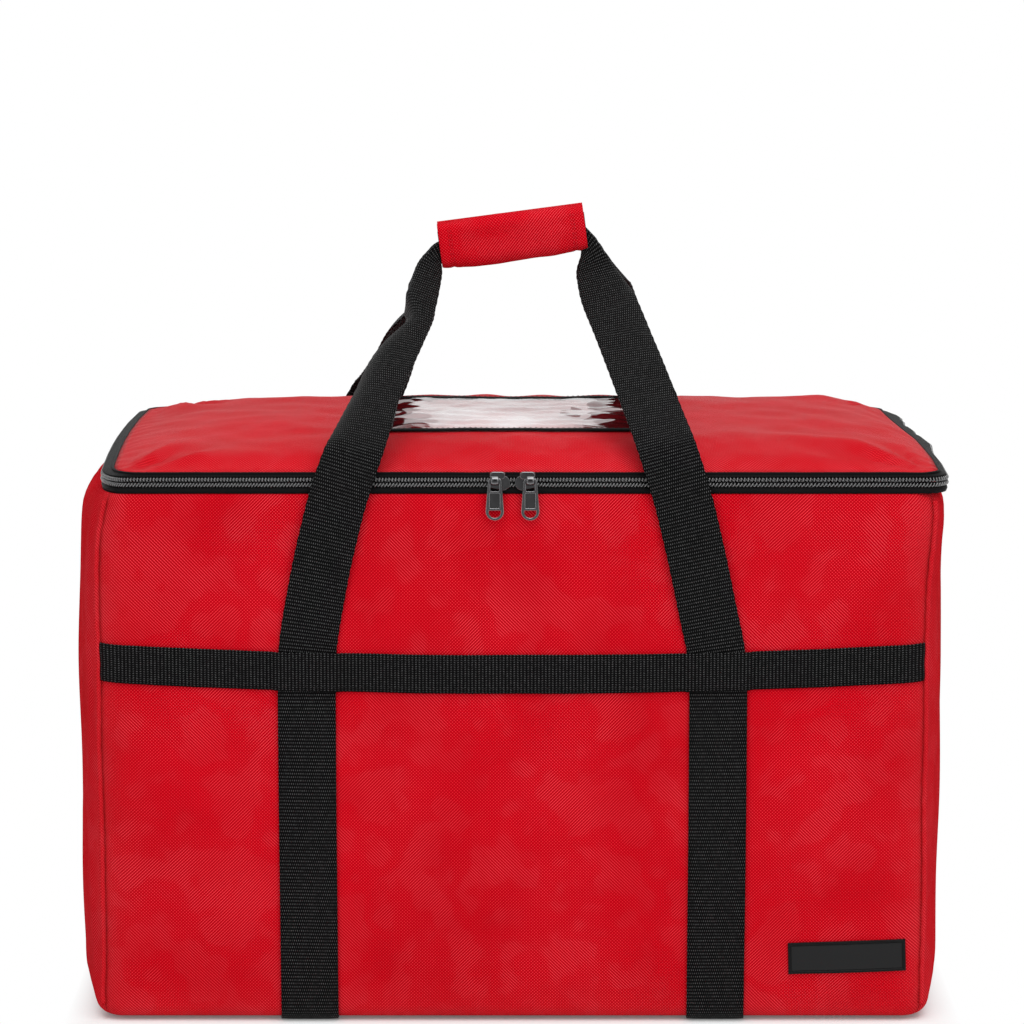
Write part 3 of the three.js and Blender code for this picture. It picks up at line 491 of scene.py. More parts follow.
def pale_foam():
    material, tree, shader = new_material("pale_foam")
    cells = make(tree, "ShaderNodeTexVoronoi", {"Vector": object_map(tree), "Scale": 900.0})
    tone = use(tree, UNEVEN_TONE, Vector=object_map(tree), Size=15.0)
    base = blend_colours(tree, tone["Broad"], (0.72, 0.70, 0.64, 1), (0.84, 0.82, 0.77, 1))
    tree.links.new(base, shader.inputs["Base Color"])
    set_plain(shader, Roughness=0.9)
    add_bump(tree, shader, cells.outputs["Distance"], 0.6, 0.0004)
    return material


def base_board_plastic():
    material, tree, shader = new_material("base_board_plastic")
    tone = use(tree, UNEVEN_TONE, Vector=object_map(tree), Size=18.0)
    base = blend_colours(tree, tone["Broad"], (0.05, 0.052, 0.054, 1), (0.085, 0.087, 0.09, 1))
    tree.links.new(base, shader.inputs["Base Color"])
    set_plain(shader, Roughness=0.6)
    add_bump(tree, shader, tone["Fine"], 0.3, 0.0003)
    return material


FOIL, FOAM, BOARD = silver_foil(), pale_foam(), base_board_plastic()
print("inside:", FOIL.name, FOAM.name, BOARD.name)

# %% [markdown]
# ## Clear vinyl
# The pocket's sheet is clear. Its middle is painted milky white, partly the vinyl's haze and partly a
# painted reflection of the pale room. Near its two ends it is painted a dark red, a painted dark
# reflection and shade, and the red cloth partly shows through. True refraction would take long to
# render and be noisy here, so the sheet is a see-through surface: it covers more where it is seen at
# a low angle, and its dark ends cover a little more than its milky middle. The line between the two
# parts is ragged, as the sheet's waves make it.


# %% Clear vinyl
HAZE_AND_REFLECTION_HALF, HAZE_AND_REFLECTION_SHIFT = 0.066, 0.008


def clear_vinyl():
    material, tree, shader = new_material("clear_vinyl")
    tone = use(tree, UNEVEN_TONE, Vector=object_map(tree), Size=16.0)
    edge = make(tree, "ShaderNodeLayerWeight", {"Blend": 0.35}).outputs["Facing"]
    along = calc(tree, "ABSOLUTE", calc(tree, "ADD", split(tree, object_map(tree))[0], HAZE_AND_REFLECTION_SHIFT))
    to_end = calc(tree, "SUBTRACT", HAZE_AND_REFLECTION_HALF, along)
    swirl = noise_value(tree, Scale=30.0, Detail=0.6, Distortion=1.2)
    ragged = calc(tree, "MULTIPLY_ADD", calc(tree, "SUBTRACT", swirl, 0.5), 0.15, to_end)
    haze_and_painted_reflection = remap(tree, ragged, 0.0, 0.004, 0.0, 1.0)
    cloud = remap(tree, haze_and_painted_reflection, 0, 1, 0.32, remap(tree, tone["Broad"], 0.35, 0.65, 0.1, 0.32))
    # Painted reflection: pale white in the middle, a painted dark reflection and shade near the ends.
    painted_reflection_tint = blend_colours(tree, haze_and_painted_reflection, (0.05, 0.003, 0.005, 1), (0.93, 0.94, 0.95, 1))
    tree.links.new(painted_reflection_tint, shader.inputs["Base Color"])
    set_plain(shader, Roughness=0.07, IOR=1.53)
    cover = calc(tree, "ADD", remap(tree, edge, 0.3, 0.95, 0.16, 0.75), cloud)
    cover = calc(tree, "MINIMUM", calc(tree, "MAXIMUM", cover, 0.06), 1.0)
    tree.links.new(cover, shader.inputs["Alpha"])
    return material


VINYL = clear_vinyl()
print("vinyl:", VINYL.name)

# %% [markdown]
# ## Plastic of the patch
# The patch is soft black plastic with a matt skin. Its sunk panel is a little greyer than its
# frame, because the light falls flat on it.


# %% Plastic of the patch
def patch_plastic():
    material, tree, shader = new_material("patch_plastic")
    tone = use(tree, UNEVEN_TONE, Vector=object_map(tree), Size=90.0)
    base = blend_colours(tree, tone["Broad"], (0.0012, 0.0012, 0.0014, 1), (0.003, 0.003, 0.0033, 1))
    # Painted light: the sunk panel is painted a lighter grey, for where the light falls flat on it.
    base = blend_colours(tree, wear_and_painted_light_share(tree), base, (0.012, 0.0125, 0.013, 1))
    tree.links.new(base, shader.inputs["Base Color"])
    set_plain(shader, Roughness=0.42, Specular_IOR_Level=0.16)
    add_bump(tree, shader, tone["Fine"], 0.25, 0.0002)
    return material


PATCH = patch_plastic()
print("patch:", PATCH.name)

# %% [markdown]
# ## Material slots
# The frame's solids carry a few plain material slots.

# %% [markdown]
# ## The shape of the sewn body
# Four padded walls are sewn edge to edge. They stand out between the seams, the narrow ends most
# of all, and turn under at the foot. One set of functions says where the cloth is, and the
# straps, the band and the lining are laid on it by distance from that face. So nothing has to be
# fitted by eye: a change of the bulge moves all that is sewn to the wall.


# %% Plan of the body
HALF_WIDTH, HALF_DEPTH, WALL_TOP, CORNER = 273.5, 165.0, 357.0, 16.0
ARC = CORNER * math.pi / 4
WALLS = ("front", "right", "back", "left")


def smooth(t):
    """0 below 0, 1 above 1, and a soft step between."""
    t = np.clip(t, 0, 1)
    return t * t * (3 - 2 * t)


def waves(x, y, seed):
    """Soft seeded noise from about -1 to 1 at each place."""
    x, y = np.broadcast_arrays(np.asarray(x, float), np.asarray(y, float))
    flat = [noise.noise(Vector((a, b, seed))) for a, b in zip(x.ravel(), y.ravel())]
    return np.array(flat).reshape(x.shape)


def is_broad(wall):
    return wall in ("front", "back")


def half_length(wall):
    return HALF_WIDTH if is_broad(wall) else HALF_DEPTH


def half_cloth(wall):
    """Half of a wall's cloth, from its middle to the middle of the rounded corner."""
    return half_length(wall) - CORNER + ARC


def on_wall(wall, along, inset):
    """Across the floor plan: along the wall from its middle, and inset from its outer face."""
    flat = half_length(wall) - CORNER
    out = (HALF_DEPTH if is_broad(wall) else HALF_WIDTH) - CORNER
    radius = CORNER - inset
    angle = np.clip(np.abs(along) - flat, 0, None) / CORNER
    beside = np.where(np.abs(along) <= flat, along, np.sign(along) * (flat + radius * np.sin(angle)))
    outward = out + radius * np.cos(angle)
    return {"front": (beside, -outward), "right": (outward, beside),
            "back": (-beside, outward), "left": (-outward, -beside)}[wall]


print("cloth round the body:", round(4 * sum(half_cloth(wall) for wall in ("front", "left"))), "mm")

# %% [markdown]
# ## How the filled bag stands
# A filled bag is no box. Its ends bulge more than its front, least where the stiff rim holds them.
# The zip and the lid stand a little to the right of the foot, because the bag hangs askew from
# its grip. Tables say how far, from the front corner to the back one. The front left corner is
# rounder at the zip than at the foot.

# %% Bulge and lean
LEFT_BULGE, RIGHT_BULGE, CORNER_BULGE, FRONT_BULGE = 22.5, 18.5, 3.5, 9.5
ZIP_CORNER = 36.0
LEAN_AT = [-165, -138, -101, -55, -10, 27, 63, 100, 150, 165]
LEAN_LEFT = [3.4, 2.6, 0.8, -1.2, -2.6, -3.2, -3.2, -2.8, -0.6, 0.0]
LEAN_RIGHT = [11.0, 11.4, 12.5, 12.0, 11.0, 8.0, 5.5, 3.0, 1.0, 0.0]


def come_in(reach, y):
    """How far the outline has come in near the front, for a corner that begins at that reach."""
    t = np.clip((reach - HALF_DEPTH - y) / reach, 0, 1)
    return CORNER * (1 - np.sqrt(1 - t * t))


def lean(points):
    """The zip and the lid lean and bow out at their ends; the walls follow a little."""
    p = np.array(points, float)
    x, y, z = p[..., 0], p[..., 1], p[..., 2]
    at_zip, at_end = smooth((z - 325) / 32), smooth((-x - 205) / 50)
    rounder = (come_in(ZIP_CORNER, y) - come_in(CORNER, y)) * at_end * at_zip
    share = (0.45 * smooth((z - 285) / 72) + 0.55 * smooth((z - 357) / 8)) * smooth((np.abs(x) - 110) / 140)
    aside = np.where(x < 0, np.interp(y, LEAN_AT, LEAN_LEFT), np.interp(y, LEAN_AT, LEAN_RIGHT))
    p[..., 0] += rounder + share * aside
    return p


def bulged(x, y, z):
    """A place of the plain box, moved to where the filled bag has it."""
    across_depth = 1 - np.minimum(1, (y / HALF_DEPTH) ** 2)
    across_width = 1 - np.minimum(1, (x / HALF_WIDTH) ** 2)
    near_corner = CORNER_BULGE * np.minimum(1, np.abs(x / HALF_WIDTH) ** 4)
    rise = np.clip(z / WALL_TOP, 0, 1)
    shape = 1 - 0.3 * rise**5 - 0.7 * rise**50
    shape = shape - 0.36 * (1 - smooth(z / 24))
    bulge = np.where(x < 0, LEFT_BULGE, RIGHT_BULGE)
    wider = 1 + (bulge * across_depth + near_corner) / HALF_WIDTH * shape
    deeper = 1 + FRONT_BULGE / HALF_DEPTH * across_width * np.sin(math.pi * rise)
    return lean(np.stack([x * wider, y * deeper, z], -1))


print("widest:", round(float(bulged(HALF_WIDTH, 0, 178)[0] - bulged(-HALF_WIDTH, 0, 178)[0])), "mm")

# %% [markdown]
# ## Relief of the padded cloth
# Cloth over a foam board swells between its seams, is pinched at them, and shows broad dents and
# upright folds, more folds on the narrow ends. The numbers are heights in millimetres. The band
# ties the front down along its line. A simulation could find such forms too, but here the cloth
# is stretched and sewn all round, and a formula keeps it clear of the foam at every place.

# %% Relief
BAND_WIDTH, BAND_TOP, BAND_SAG, BAND_DENT = 25.4, 257.5, 6.0, -0.7
BROAD_WALL = {"swell": 1.5, "dents": 2.5, "folds": 0.9, "valley": 1.0, "band": BAND_DENT}
NARROW_WALL = {"swell": 0.5, "dents": 1.6, "folds": 1.6, "valley": 2.8, "band": 0.0}
SEAM_PINCH, SEAM_PUCKER, DEEPEST_DENT = -1.3, 0.28, -2.3
FOOT, FOOT_TOP = 9.0, 11.1


def band_top(x):
    """The upper edge of the band, which sags to the middle."""
    return BAND_TOP - BAND_SAG * (1 - (x / HALF_WIDTH) ** 2)


def hill(distance, width):
    return np.exp(-((distance / width) ** 2))


def relief(wall, along, up):
    """How far the padded cloth stands proud of its plain shape: quilted, pinched and dented."""
    size = BROAD_WALL if is_broad(wall) else NARROW_WALL
    to_seam = half_cloth(wall) - np.abs(along)
    z = FOOT_TOP + up
    seed = 3.7 * WALLS.index(wall)
    ends = smooth(up / 26) * smooth((WALL_TOP - z) / 22)
    swell = size["swell"] * (1 - np.exp(-to_seam / 30)) * np.sin(math.pi * np.clip(z / WALL_TOP, 0, 1))
    pinch = SEAM_PINCH * hill(to_seam, 8)
    dents = size["dents"] * waves(along / 95 + up / 190, up / 80 - along / 240, seed)
    folds = size["folds"] * waves(along / 30, up / 170, seed + 1.3)
    valley = -size["valley"] * hill(to_seam - 9, 4) * (0.6 + 0.5 * waves(up / 60, along * 0, seed + 4))
    uneven = 4 * waves(up / 40, along * 0, seed + 2)
    pucker = SEAM_PUCKER * np.exp(-to_seam / 13) * np.sin(up / 2.1 + uneven)
    band = size["band"] * hill(z - band_top(along) + BAND_WIDTH / 2, 20)
    total = swell + pinch + dents + folds + valley + pucker + band
    return ends * np.where(to_seam > ARC - 1, np.maximum(total, DEEPEST_DENT), total)


def skin(wall, along, up, lift=0.0):
    """A point of the dressed wall. up is the way up the cloth from the top of the foot's turn."""
    along, up, lift = np.broadcast_arrays(*(np.asarray(v, float) for v in (along, up, lift)))
    out = lift + relief(wall, along, up)
    angle = math.pi / 2 + np.minimum(up, 0) / FOOT
    under = up < 0
    inset = np.where(under, FOOT - (FOOT + out) * np.sin(angle), -out)
    z = np.where(under, FOOT_TOP - (FOOT + out) * np.cos(angle), FOOT_TOP + up)
    x, y = on_wall(wall, along, inset)
    return bulged(x, y, z)


print("front at mid height: y", round(float(skin("front", 0, 160)[1]), 1), "mm")

# %% [markdown]
# ## Tools for meshes
# Every piece here is laid out as rows of points, so a few builders are enough: a sheet from one
# grid, a slab between two, and a tube over rings. Each piece also gets its cloth map in metres,
# its material and the body it rides on.


# %% Pieces from points
def finish_piece(name, points, faces, maps, material, body, wear_and_painted_light=None):
    """A mesh object from points in millimetres. maps holds one place on the cloth per face corner."""
    mesh = bpy.data.meshes.new(name)
    mesh.from_pydata((np.asarray(points, float) / 1000).tolist(), [], faces)
    layer = mesh.uv_layers.new(name="Cloth")
    layer.data.foreach_set("uv", (np.asarray(maps, float).reshape(-1, 2) / 1000).ravel())
    mesh.materials.append(material)
    if wear_and_painted_light is not None:
        mark_wear_and_painted_light(mesh, wear_and_painted_light)
    mesh.shade_smooth()
    piece = bpy.data.objects.new(name, mesh)
    bpy.context.scene.collection.objects.link(piece)
    if body:
        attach(piece, body)
    return piece


def mark_wear_and_painted_light(mesh, wear_and_painted_light):
    """A value from 0 to 1 at each point, which the materials read: wear on the cloth, wear with a painted
    highlight on the castings, painted light on the patch's panel.
    """
    mesh.attributes.new("wear_and_painted_light", "FLOAT", "POINT").data.foreach_set("value", np.asarray(wear_and_painted_light, float).ravel())


def turn_faces_out(piece):
    work = bmesh.new()
    work.from_mesh(piece.data)
    bmesh.ops.recalc_face_normals(work, faces=work.faces)
    work.to_mesh(piece.data)
    work.free()
    return piece


def grid_faces(rows, cols, start=0, flip=False):
    """Four-sided faces between rows of points."""
    faces = []
    for i in range(rows - 1):
        for j in range(cols - 1):
            a = start + i * cols + j
            quad = (a, a + 1, a + cols + 1, a + cols)
            faces.append(quad[::-1] if flip else quad)
    return faces


def ring_faces(count, sides, closed=False):
    """Four-sided faces between rings of points, and from the last ring to the first where closed."""
    faces = []
    for i in range(count if closed else count - 1):
        n = (i + 1) % count
        for j in range(sides):
            k = (j + 1) % sides
            faces.append((i * sides + j, i * sides + k, n * sides + k, n * sides + j))
    return faces


def per_corner(faces, uv):
    flat = np.asarray(uv, float).reshape(-1, 2)
    return [flat[k] for face in faces for k in face]


def unit(v):
    return v / np.maximum(np.linalg.norm(v, axis=-1, keepdims=True), 1e-9)


def way_along(points):
    """The way along a row of points, from the first."""
    steps = np.linalg.norm(np.diff(points, axis=0), axis=-1)
    return np.concatenate([[0], np.cumsum(steps)])


def points_at(where, travel, points):
    """The places of a line of points at these ways along it."""
    return np.stack([np.interp(where, travel, points[:, k]) for k in range(3)], -1)


def map_of(ways, other_ways):
    """A cloth map from two sets of ways, one down the rows of a grid and one down its columns."""
    return np.stack(np.broadcast_arrays(ways, other_ways), -1)


def sheet_piece(name, grid, uv, material, body, wear_and_painted_light=None):
    """One layer of cloth from a grid of points."""
    faces = grid_faces(*grid.shape[:2])
    return finish_piece(name, grid.reshape(-1, 3), faces, per_corner(faces, uv), material, body, wear_and_painted_light)


def slab_piece(name, outer, inner, uv, material, body, wear_and_painted_light=None):
    """A closed slab between two grids of points."""
    rows, cols = outer.shape[:2]
    total = rows * cols
    faces = grid_faces(rows, cols) + grid_faces(rows, cols, total, True)
    border = ([(0, j) for j in range(cols - 1)] + [(i, cols - 1) for i in range(rows - 1)]
              + [(rows - 1, j) for j in range(cols - 1, 0, -1)] + [(i, 0) for i in range(rows - 1, 0, -1)])
    ids = [i * cols + j for i, j in border]
    for a, b in zip(ids, ids[1:] + ids[:1]):
        faces.append((b, a, a + total, b + total))
    points = np.concatenate([outer.reshape(-1, 3), inner.reshape(-1, 3)])
    maps = per_corner(faces, np.concatenate([np.asarray(uv).reshape(-1, 2)] * 2))
    wear_and_painted_light = None if wear_and_painted_light is None else np.concatenate([np.ravel(wear_and_painted_light)] * 2)
    return turn_faces_out(finish_piece(name, points, faces, maps, material, body, wear_and_painted_light))


def tube_piece(name, rings, material, body, closed=False, wear_and_painted_light=None):
    """A skin over rings of points; each ring is closed, and the ends are capped unless they meet."""
    rings = np.asarray(rings, float)
    count, sides = rings.shape[:2]
    length = way_along(rings.mean(1))
    around = np.linalg.norm(rings - np.roll(rings, -1, 1), axis=2).mean(0)
    around = np.concatenate([[0], np.cumsum(around)])
    faces, maps = ring_faces(count, sides, closed), []
    for i in range(count if closed else count - 1):
        near, far = length[i], length[i + 1] if i + 1 < count else length[i] + (length[1] - length[0])
        for j in range(sides):
            maps += [(near, around[j]), (near, around[j + 1]), (far, around[j + 1]), (far, around[j])]
    if not closed:
        for ring, at in ((0, length[0]), (count - 1, length[-1])):
            ids = tuple(ring * sides + j for j in range(sides))
            faces.append(ids if ring else ids[::-1])
            maps += [(at, around[j]) for j in (range(sides) if ring else range(sides - 1, -1, -1))]
    return turn_faces_out(finish_piece(name, rings.reshape(-1, 3), faces, maps, material, body, wear_and_painted_light))


def stitches(name, path, normals, material, body, stitch=2.8, space=0.9, thick=0.28):
    """A row of thread stitches that lie on a path and dip into the cloth at their ends."""
    path, normals = np.asarray(path, float), unit(np.asarray(normals, float))
    travel = way_along(path)
    points, faces, maps = [], [], []
    for start in np.arange(0.5, travel[-1] - stitch, stitch + space):
        where = start + np.array([0, stitch / 2, stitch])
        a, m, b = points_at(where, travel, path)
        na, nm, nb = unit(points_at(where, travel, normals))
        side = unit(np.cross(b - a, nm)) * thick
        k = len(points)
        points += [a - na * thick, m + side, m + nm * thick * 1.2, m - side, b - nb * thick]
        faces += [(k, k + 2, k + 1), (k, k + 3, k + 2), (k + 1, k + 2, k + 4), (k + 2, k + 3, k + 4)]
        maps += [(start, 0)] * 12
    return finish_piece(name, points, faces, maps, material, body)


# %% [markdown]
# ## The four cloth walls and the floor
# On the real bag each wall is a cut panel over a foam board, sewn to its neighbours at the
# corners. The cloth is one lofted skin from seam to seam and round the foot, with a hem turned
# in at every edge, so it shows its thickness where it is seen from the side.


# %% Cloth walls
HEM, CLOTH_STEP = 1.0, 5


def hemmed(face, turned):
    """A grid of cloth with a border of points that lie behind it at every edge."""
    middle = np.concatenate([turned[:, :1], face, turned[:, -1:]], 1)
    low = np.concatenate([turned[:1, :1], turned[:1], turned[:1, -1:]], 1)
    high = np.concatenate([turned[-1:, :1], turned[-1:], turned[-1:, -1:]], 1)
    return np.concatenate([low, middle, high], 0)


def with_border(ways):
    return np.concatenate([[ways[0] - HEM], ways, [ways[-1] + HEM]])


def cloth_wall(wall):
    half = half_cloth(wall) - 0.4
    alongs = np.concatenate([np.linspace(-half, -half + 24, 8)[:-1],
                             np.linspace(-half + 24, half - 24, round((2 * half - 48) / CLOTH_STEP)),
                             np.linspace(half - 24, half, 8)[1:]])
    ups = np.concatenate([np.linspace(-FOOT * math.pi / 2, 0, 6)[:-1],
                          np.linspace(0, WALL_TOP - FOOT_TOP, round((WALL_TOP - FOOT_TOP) / CLOTH_STEP))])
    along, up = np.meshgrid(alongs, ups)
    grid = hemmed(skin(wall, along, up), skin(wall, along, up, -HEM))
    across, upward = with_border(alongs), with_border(ups)
    to_edge = np.minimum(half - np.abs(across)[None, :], upward[:, None] + 10)
    wear_and_painted_light = np.exp(-np.clip(to_edge, 0, None) / 9)
    uv = np.stack(np.meshgrid(across, upward), -1)
    piece = sheet_piece(f"{wall}_cloth", grid, uv, RED, "bag_body", wear_and_painted_light)
    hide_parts(f"{wall}_panel")


def round_the_walls(inset, step, corner_points):
    """The rounded plan of the body at one inset, as its x and y."""
    places = []
    for wall in WALLS:
        half = half_cloth(wall)
        alongs = np.concatenate([np.linspace(-half, -half + ARC, corner_points)[:-1],
                                 np.linspace(-half + ARC, half - ARC, round((2 * half - 2 * ARC) / step)),
                                 np.linspace(half - ARC, half, corner_points)[1:-1]])
        places.append(on_wall(wall, alongs, np.full_like(alongs, inset)))
    return [np.concatenate(values) for values in zip(*places)]


def flat_loop(inset, z):
    """The outline of the filled bag at one height, from its outer face inwards."""
    x, y = round_the_walls(inset, 9.0, 5)
    return bulged(x, y, np.full_like(x, z))


def plate_piece(name, loop, low_z, high_z, shares, material, body):
    """A padded or flat plate whose faces are rings that shrink to the middle."""
    rings = []
    for share, height in [(s, low_z) for s in shares[::-1]] + [(s, high_z) for s in shares]:
        ring = loop * [share, share, 1]
        ring[:, 2] = height(ring[:, 0], ring[:, 1]) if callable(height) else height
        rings.append(ring)
    return tube_piece(name, rings, material, body)


for wall in WALLS:
    cloth_wall(wall)
floor_cloth = plate_piece("floor_cloth", flat_loop(8.6, 2.1), 2.15, 3.3, [1, 0.9, 0.6, 0.3, 0.02],
                          RED, "bag_body")
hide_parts("bottom_panel")

# %% [markdown]
# ## Corner seams
# The panels meet in a turned seam: both edges are folded together, stand a little proud and are
# pulled tight by the thread, so the ridge is uneven.


# %% Corner seams
SEAM_STEP, SEAM_WIDE, SEAM_TALL, SEAM_SIDES = 2.2, 1.3, 2.0, 10


def corner_seam(name, wall, end):
    ups = np.arange(0, WALL_TOP - FOOT_TOP - 3, SEAM_STEP)
    core = skin(wall, end * half_cloth(wall), ups, 1.4)
    out = unit(skin(wall, end * half_cloth(wall), ups, 3.0) - core)
    side = unit(np.cross(out, [0, 0, 1]))
    wobble = 0.4 * waves(ups / 24, ups * 0, 8.1) + 0.08 * np.sin(ups * 2 * math.pi / 4.4)
    rings = []
    for angle in np.linspace(0, 2 * math.pi, SEAM_SIDES, endpoint=False):
        aside, proud = SEAM_WIDE * math.cos(angle), SEAM_TALL * math.sin(angle)
        rings.append(core + side * (aside + 0.7 * wobble[:, None]) + out * (proud + wobble[:, None]))
    wear_and_painted_light = np.full((len(ups), SEAM_SIDES), 0.6)
    piece = tube_piece(f"seam_{name}", np.stack(rings, 1), RED, "bag_body", wear_and_painted_light=wear_and_painted_light)
    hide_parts(f"corner_seam_{name}")


for name, wall, end in (("front_right", "front", 1), ("back_right", "back", -1),
                        ("back_left", "back", 1), ("front_left", "front", -1)):
    corner_seam(name, wall, end)

# %% [markdown]
# ## Sewn straps and the band
# Each strap is one length of webbing that runs up the front, under the floor and up the back.
# The band is a narrower webbing that goes over both straps and into the corner seams. Webbing is
# woven flat, so it bends over what lies under it without stretching, and its edges are finely
# scalloped where the weft turns.


# %% Sewn straps
WEBBING_WIDTH, WEBBING_THICK, STRAP_X, STRAP_TOP = 38.0, 1.8, 135.0, 240


def sewn_strap(side, sign):
    across = np.linspace(-WEBBING_WIDTH / 2, WEBBING_WIDTH / 2, 9)
    crown = 0.35 * (1 - (across / (WEBBING_WIDTH / 2)) ** 6)
    down_wall, round_foot = np.linspace(STRAP_TOP - FOOT_TOP, 0, 60), np.linspace(0, -FOOT * math.pi / 2, 7)
    ups = np.concatenate([down_wall, round_foot[1:]])
    under = np.linspace(-(HALF_DEPTH - FOOT), HALF_DEPTH - FOOT, 40)[1:-1]
    x = sign * STRAP_X + across[None, :]

    def face(lift, floor_z):
        front = skin("front", x, ups[:, None], lift)
        below = np.stack(np.broadcast_arrays(x, under[:, None], floor_z), -1)
        back = skin("back", -x, ups[:, None], lift)
        return np.concatenate([front, below, back[::-1]])

    outer, inner = face(0.5 + WEBBING_THICK - 0.35 + crown[None, :], 0.05), face(0.3, 1.85)
    outer[..., 2] = np.maximum(outer[..., 2], 0.05)
    travel = way_along(outer[:, 4])
    uv = map_of(travel[:, None], across[None, :])
    piece = slab_piece(f"sewn_strap_{side}", outer, inner, uv, WEBBING, "bag_body")
    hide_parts(f"front_strap_run_{side}", f"floor_strap_run_{side}", f"back_strap_run_{side}")
    return travel[-1]


SIDES = (("left", -1), ("right", 1))
for side, sign in SIDES:
    strap_length = sewn_strap(side, sign)
print("sewn straps:", round(float(strap_length)), "mm long")


# %% Band
BAND_THICK, BAND_STEP, SCALLOP = 1.5, 1.35, 2.7
UPPER_STITCH_ROW, LOWER_STITCH_ROW = 6, 1


def band(wall):
    reach = half_cloth("front") - 1.2
    alongs = np.arange(-reach, reach, BAND_STEP)
    rows = np.linspace(0, 1, 8)
    beyond = np.abs(np.abs(alongs) - STRAP_X) - WEBBING_WIDTH / 2 - 0.3
    lift = 0.4 + smooth(1 - beyond / 5) * (WEBBING_THICK + 0.35)
    scallop = 0.22 * np.sin(alongs * 2 * math.pi / SCALLOP)
    edge = np.where(np.abs(rows - 0.5) > 0.45, 1, 0) * np.sign(rows - 0.5)
    down = (1 - rows[:, None]) * BAND_WIDTH
    up = band_top(alongs)[None, :] - down + edge[:, None] * scallop[None, :] - FOOT_TOP
    crown = 0.25 * (1 - (2 * rows - 1) ** 8)
    along = np.broadcast_to(alongs[None, :], up.shape)
    outer = skin(wall, along, up, lift[None, :] + BAND_THICK - 0.25 + crown[:, None])
    inner = skin(wall, along, up, np.broadcast_to(lift[None, :], up.shape))
    uv = map_of(alongs[None, :], (rows * BAND_WIDTH)[:, None])
    piece = slab_piece(f"{wall}_band_webbing", outer, inner, uv, RIBBED, "bag_body")
    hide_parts(f"{wall}_band")
    proud = [0, -0.1 if wall == "front" else 0.1, 0]
    for name, row in (("upper", UPPER_STITCH_ROW), ("lower", LOWER_STITCH_ROW)):
        stitches(f"{wall}_band_{name}_stitches", outer[row] + proud, outer[3] - inner[3], THREAD, "bag_body")


for wall in ("front", "back"):
    band(wall)
print("bands:", round(2 * half_cloth("front")), "mm between the seams")

# %% [markdown]
# ## The patch by the right foot
# A moulded black patch with a thin raised frame and a sunk panel, sewn on a touch askew. It is
# laid on the wall like the webbing, so it follows the swell of the cloth.

# %% Patch
PATCH_X, PATCH_Z, PATCH_WIDE, PATCH_TALL, PATCH_TURN = 220.9, 45.6, 76.0, 21.8, math.radians(1.9)
FRAME_STEPS = np.array([0, 0.35, 1.5, 1.8, 2.2, 2.5])


def frame_places(size, count):
    """Places across the patch, closer together on its frame."""
    inner = size / 2 - 3
    middle = np.linspace(-inner, inner, count)
    return np.concatenate([FRAME_STEPS - size / 2, middle, size / 2 - FRAME_STEPS[::-1]])


x, z = np.meshgrid(frame_places(PATCH_WIDE, 14), frame_places(PATCH_TALL, 6))
to_edge = np.minimum(PATCH_WIDE / 2 - np.abs(x), PATCH_TALL / 2 - np.abs(z))
lift = (0.9 + 0.7 * smooth(to_edge / 0.35) - 0.7 * smooth((to_edge - 1.5) / 0.4)
        + 0.35 * smooth((to_edge - 2.2) / 0.3))
along = PATCH_X + x * math.cos(PATCH_TURN) - z * math.sin(PATCH_TURN)
up = PATCH_Z - FOOT_TOP + x * math.sin(PATCH_TURN) + z * math.cos(PATCH_TURN)
# The sunk panel is marked for its painted lighter grey.
panel = smooth((to_edge - 2.1) / 0.4)
patch = slab_piece("bare_patch", skin("front", along, up, lift), skin("front", along, up, 0.3),
                   np.stack([x, z], -1), PATCH, "bag_body", panel)
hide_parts("front_patch")
print("patch:", PATCH_WIDE, "x", PATCH_TALL, "mm")

# %% [markdown]
# ## Lid
# The lid is a padded panel. Its cloth is pulled down to the binding all round, so it domes, its
# edge puckers in small waves, and creases fan out from the corners. Under the pocket it is held
# flat. The lid's shape is a height over a plan, like a landscape, which suits a panel that has no
# overhangs, and the pocket is laid on the same landscape.


# %% Shape of the lid
LID_PANEL_TOP, LID_DOME, LID_A, LID_B, LID_CORNER = 370.5, 16.2, 271.7, 163.2, 14.2
LID_DRAW_LEFT, LID_DRAW_RIGHT, LID_DRAW_Y = 0.978, 0.988, 0.988
DOME_EDGE_LEFT, DOME_EDGE_RIGHT = 5, 10
HELD_X, HELD_Y, HELD_FADE = 89, 87, 25
DEEPEST_CREASE = -3.2


def lid_plan(step):
    """A grid over the rounded rectangle of the lid."""
    a, b, r = LID_A, LID_B, LID_CORNER
    x, y = np.meshgrid(np.linspace(-a, a, round(2 * a / step)), np.linspace(-b, b, round(2 * b / step)))
    dx, dy = np.clip(np.abs(x) - (a - r), 0, None), np.clip(np.abs(y) - (b - r), 0, None)
    both = (dx > 0) & (dy > 0)
    squeeze = np.where(both, np.maximum(dx, dy) / np.maximum(np.hypot(dx, dy), 1e-9), 1)
    x = np.where(both, np.sign(x) * (a - r + dx * squeeze), x)
    y = np.where(both, np.sign(y) * (b - r + dy * squeeze), y)
    return x, y


def lid_dome(x, y):
    """The dome falls off slowly towards the left end and late towards the right one."""
    along = 1 - np.minimum(1, np.abs(x / LID_A)) ** np.where(x < 0, DOME_EDGE_LEFT, DOME_EDGE_RIGHT)
    return LID_DOME * along * (1 - np.minimum(1, np.abs(y / LID_B) ** 6))


